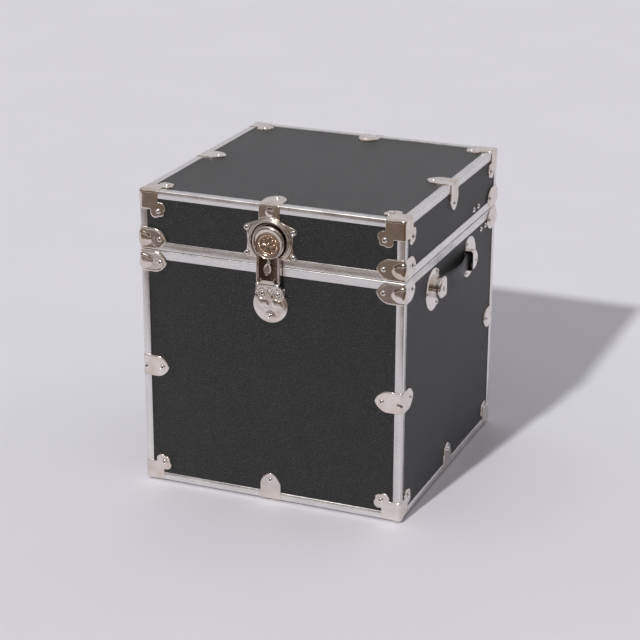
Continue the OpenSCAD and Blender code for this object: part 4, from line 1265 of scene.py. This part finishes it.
def mount_plate_piece():
    """Shield with a stepped band across it and a boss for its lowest rivet."""
    top = box_mm("hasp_mount_plate")[1][2]

    def distance(x, y):
        d = circle_d(x, y, 0, SHIELD_Z, SHIELD_R)
        return blend_min(d, box_d(x, y, -24, 24, SHIELD_Z, top), 1.2)
    outline = round_outline(distance, (0, SHIELD_Z + 3), 1500, 60, 1.2)

    def relief(u, v):
        x = np.abs(u)
        bar = smooth_step(19.5 - x, 0, 1.2) * smooth_step(v, SHIELD_Z - 2.2, SHIELD_Z - 0.8) \
            * smooth_step(SHIELD_Z + 6.4 - v, 0, 1.2) * smooth_step(x, 3.5, 5.0)
        foot = np.hypot(u, v - FOOT_Z)
        boss = smooth_step(7.6 - foot, 0, 1.6)
        edge = SHIELD_R - np.hypot(u, v - SHIELD_Z)
        return 0.75 * bar + 0.8 * boss + 0.35 * smooth_step(edge, 2.0, 5.5) * (1 - boss)
    build = Build()
    pressed(build, outline, lock_place, relief, step=1.3)
    # Paler nickel: painted reflection of the pale floor.
    build.piece("hasp_shield", FLOOR_REFLECTION_NICKEL, "trunk", "nickel_hardware", "hasp_mount_plate", sharp=60)


def leaf_piece():
    """Fixed leaf of the hasp: two cupped lobes, a neck rising to the barrel, and its two knuckles."""
    level = 2 * SHEET + 0.05

    def distance(x, y):
        d = box_d(x, y, -19, 19, LEAF_Z + 1, PIN_Z - 1.2)
        for cx, cy in LOBES:
            d = blend_min(d, circle_d(x, y, cx, cy, LOBE_R), 0.4)
        return d
    outline = round_outline(distance, (0, LEAF_Z + 6), 2400, 60, 0.9)

    def relief(u, v):
        near = nearest(u, v, LOBES)
        rim = 2.8 * np.exp(-((near - 10.6) / 1.1) ** 2) + 0.5 * np.exp(-((near - 6.6) / 0.7) ** 2)
        outside = smooth_step(near, 10.2, 12.0)
        beside = np.maximum(smooth_step(-u, 13.1, 13.6), smooth_step(u, 11.1, 11.6))
        climb = np.clip((v - LEAF_Z - 6.5) / (PIN_Z - LEAF_Z - 8.5), 0, 1) ** 1.3
        neck = 2.0 + beside * (PIN_OUT - 1.4 - level - 2.0) * climb
        high = smooth_step(v, LEAF_Z + 6, LEAF_Z + 10)
        return np.maximum(rim * (1 - high), outside * neck * smooth_step(v, LEAF_Z - 2, LEAF_Z + 7))
    build = Build()
    pressed(build, outline, lock_place, relief, step=1.0, edge_drop=0.6, edge_w=0.9, level=level,
            low=SHEET + 0.05)
    for k in (0, 2):
        rod(build, lock_place, PIN_Z, PIN_OUT, *KNUCKLES[k], 3.6)
    # Paler nickel: painted reflection of the pale floor.
    build.piece("hasp_leaf_shell", FLOOR_REFLECTION_NICKEL, "trunk", "nickel_hardware", "hasp_leaf", sharp=60)


# ---------- handles
HANDLE_Z = middle("right_grip")
MOUTH, HOOD_L, HOOD_W = 64.5, 28.0, 33.0
HOOD_H = box_mm("right_handle_front_cap")[1][0] - HALF_W
CAP_RIVETS = ((114.0, 0.0), (72.0, 25.0), (72.0, -25.0))
PLATE_MID, PLATE_R, PLATE_FLAT = 86.0, 33.5, 66.5


def hood_grid(inset, height, foot):
    """Rings of points over a D-shaped hood, from the flange up the wall and over to its ridge."""
    r = HOOD_W / 2 - inset
    turn_u = MOUTH + HOOD_L - HOOD_W / 2
    straight = [MOUTH + (turn_u - MOUTH) * k / 8 for k in range(9)]
    path = [(u, -r, u) for u in straight]
    path += [(turn_u + r * math.sin(math.radians(a)), -r * math.cos(math.radians(a)), turn_u)
             for a in range(6, 180, 6)]
    path += [(u, r, u) for u in reversed(straight)]
    round_r = 4.6 - inset
    flare = 2.4 - inset
    profile = [(-flare, foot), (-flare * 0.4, foot + 0.35), (-0.1, foot + 1.2), (0, foot + 2.2),
               (0, height - round_r)]
    for a in (18, 36, 54, 72, 90):
        turn = math.radians(a)
        profile.append((round_r * (1 - math.cos(turn)), height - round_r * (1 - math.sin(turn))))
    profile += [(6.5, height + 0.1), (9.0, height + 0.2), (12.0, height + 0.28), (r, height + 0.3)]
    rows = []
    for u, v, core in path:
        away = np.array([u - core, v])
        length = np.hypot(*away)
        row = []
        for step, h in profile:
            p = np.array([core, 0.0]) + away * ((length - min(step, length)) / length)
            row.append((p[0], p[1], h))
        rows.append(row)
    return rows


def hood(build, place):
    outer = hood_grid(0.0, HOOD_H, -0.4)
    inner = hood_grid(SHEET, HOOD_H - SHEET, -0.6)

    def dimple(p):
        away = math.hypot(p[0] - PLATE_MID + 2, p[1])
        return (p[0], p[1], p[2] - 0.9 * float(smooth_step(3.4 - away, 0, 1.2)))
    n, m = len(outer), len(outer[0])
    top = [place(*dimple(p)) for row in outer for p in row]
    bottom = [place(*p) for row in inner for p in row]
    faces = [(k * m + j, (k + 1) * m + j, (k + 1) * m + j + 1, k * m + j + 1)
             for k in range(n - 1) for j in range(m - 1)]
    top, bottom, faces = merge_shared(top, bottom, faces)
    shell(build, top, faces, top, bottom)


def handle_cap(side, end, name):
    """Round flange, cut flat towards the grip, with three rivets and a hood that is open there."""
    def place(u, v, h):
        return side_place(side)(end * u, HANDLE_Z + v, h)

    def distance(x, y):
        return np.maximum(circle_d(x, y, PLATE_MID, 0, PLATE_R), PLATE_FLAT - x)
    outline = round_outline(distance, (PLATE_MID - 2, 0), 1500, 60, 1.3)

    def relief(u, v):
        near = nearest(u, v, CAP_RIVETS)
        rim = PLATE_R - np.hypot(u - PLATE_MID, v)
        return 0.5 * smooth_step(rim, 0.8, 2.4) - 0.3 * smooth_step(5.6 - near, 0, 1.2)
    build = Build()
    pressed(build, outline, place, relief, step=1.8, level=0.0, low=-1.1, edge_drop=0.5, edge_w=0.9)
    hood(build, place)
    # Paler nickel: painted reflection of the pale floor.
    build.piece(name + "_shell", FLOOR_REFLECTION_NICKEL, "trunk", "nickel_hardware", name, sharp=55)


GRIP_LOW, GRIP_BOW, GRIP_HALF, BOW_HALF = 2.0, 8.0, 81.5, 70.0
GRIP_W, GRIP_T = 27.0, 4.5
STITCH_V = 10.4       # rows of stitches from the strap's middle line


def bow(y):
    """How far the strap's back stands off the panel, along its length."""
    if abs(y) >= BOW_HALF:
        return GRIP_LOW
    return GRIP_LOW + GRIP_BOW * (0.5 + 0.5 * math.cos(math.pi * y / BOW_HALF))


def half_thickness(v):
    """Half the strap's thickness, across its width."""
    return GRIP_T / 2 * (1 - min(1, abs(v) / (GRIP_W / 2)) ** 7) ** 0.5


def grip_top(v):
    """Height of the strap's face above its mid-plane, across its width, with a stitching groove."""
    groove = 0.45 * math.exp(-((abs(v) - STITCH_V) / 0.7) ** 2)
    return half_thickness(v) - groove - 0.25 * (v / (GRIP_W / 2)) ** 2


def grip_piece(side, body):
    build = Build()
    across = [GRIP_W / 2 * math.sin(math.pi / 2 * (k / 22 - 1)) for k in range(45)]
    sections = []
    for k in range(73):
        y = -GRIP_HALF + 2 * GRIP_HALF * k / 72
        mid = bow(y) + GRIP_T / 2
        upper = [(y, v, mid + grip_top(v)) for v in across]
        lower = [(y, v, mid - half_thickness(v)) for v in reversed(across[1:-1])]
        sections.append(upper + lower)
    place = moved(side_place(side), 0, HANDLE_Z)
    loft(build, sections, place)
    build.piece(body + "_leather", LEATHER, body, "handle_leather", body, sharp=50)
    thread = Build()
    for row in (-STITCH_V, STITCH_V):
        for k in range(31):
            y = -69 + 4.6 * k
            height = bow(y) + GRIP_T / 2 + grip_top(row) + 0.12
            slope = bow(y + 0.5) - bow(y - 0.5)
            stitch(thread, place, y, row, height, slope)
    thread.piece(body + "_stitches", THREAD, body, "handle_leather")


def stitch(build, place, y, v, h, slope):
    """One short rounded stitch along the strap."""
    half, r = 1.75, 0.42
    rows = [(-1.0, 0.05), (-0.8, 0.7), (-0.35, 1.0), (0.35, 1.0), (0.8, 0.7), (1.0, 0.05)]
    sections = [[(y + half * t, v + r * w * math.cos(math.pi * k / 3),
                  h + slope * half * t - 0.35 * t * t + r * w * math.sin(math.pi * k / 3))
                 for k in range(6)] for t, w in rows]
    loft(build, sections, place)


# ---------- assembly of the special pieces
lock_clamp()
lock_plate_piece()
hasp_piece()
medallion_piece()
keyhole_cover_piece()
mount_plate_piece()
leaf_piece()
handle_cap(1, -1, "right_handle_front_cap")
handle_cap(1, 1, "right_handle_rear_cap")
handle_cap(3, 1, "left_handle_front_cap")
handle_cap(3, -1, "left_handle_rear_cap")
grip_piece(1, "right_grip")
grip_piece(3, "left_grip")
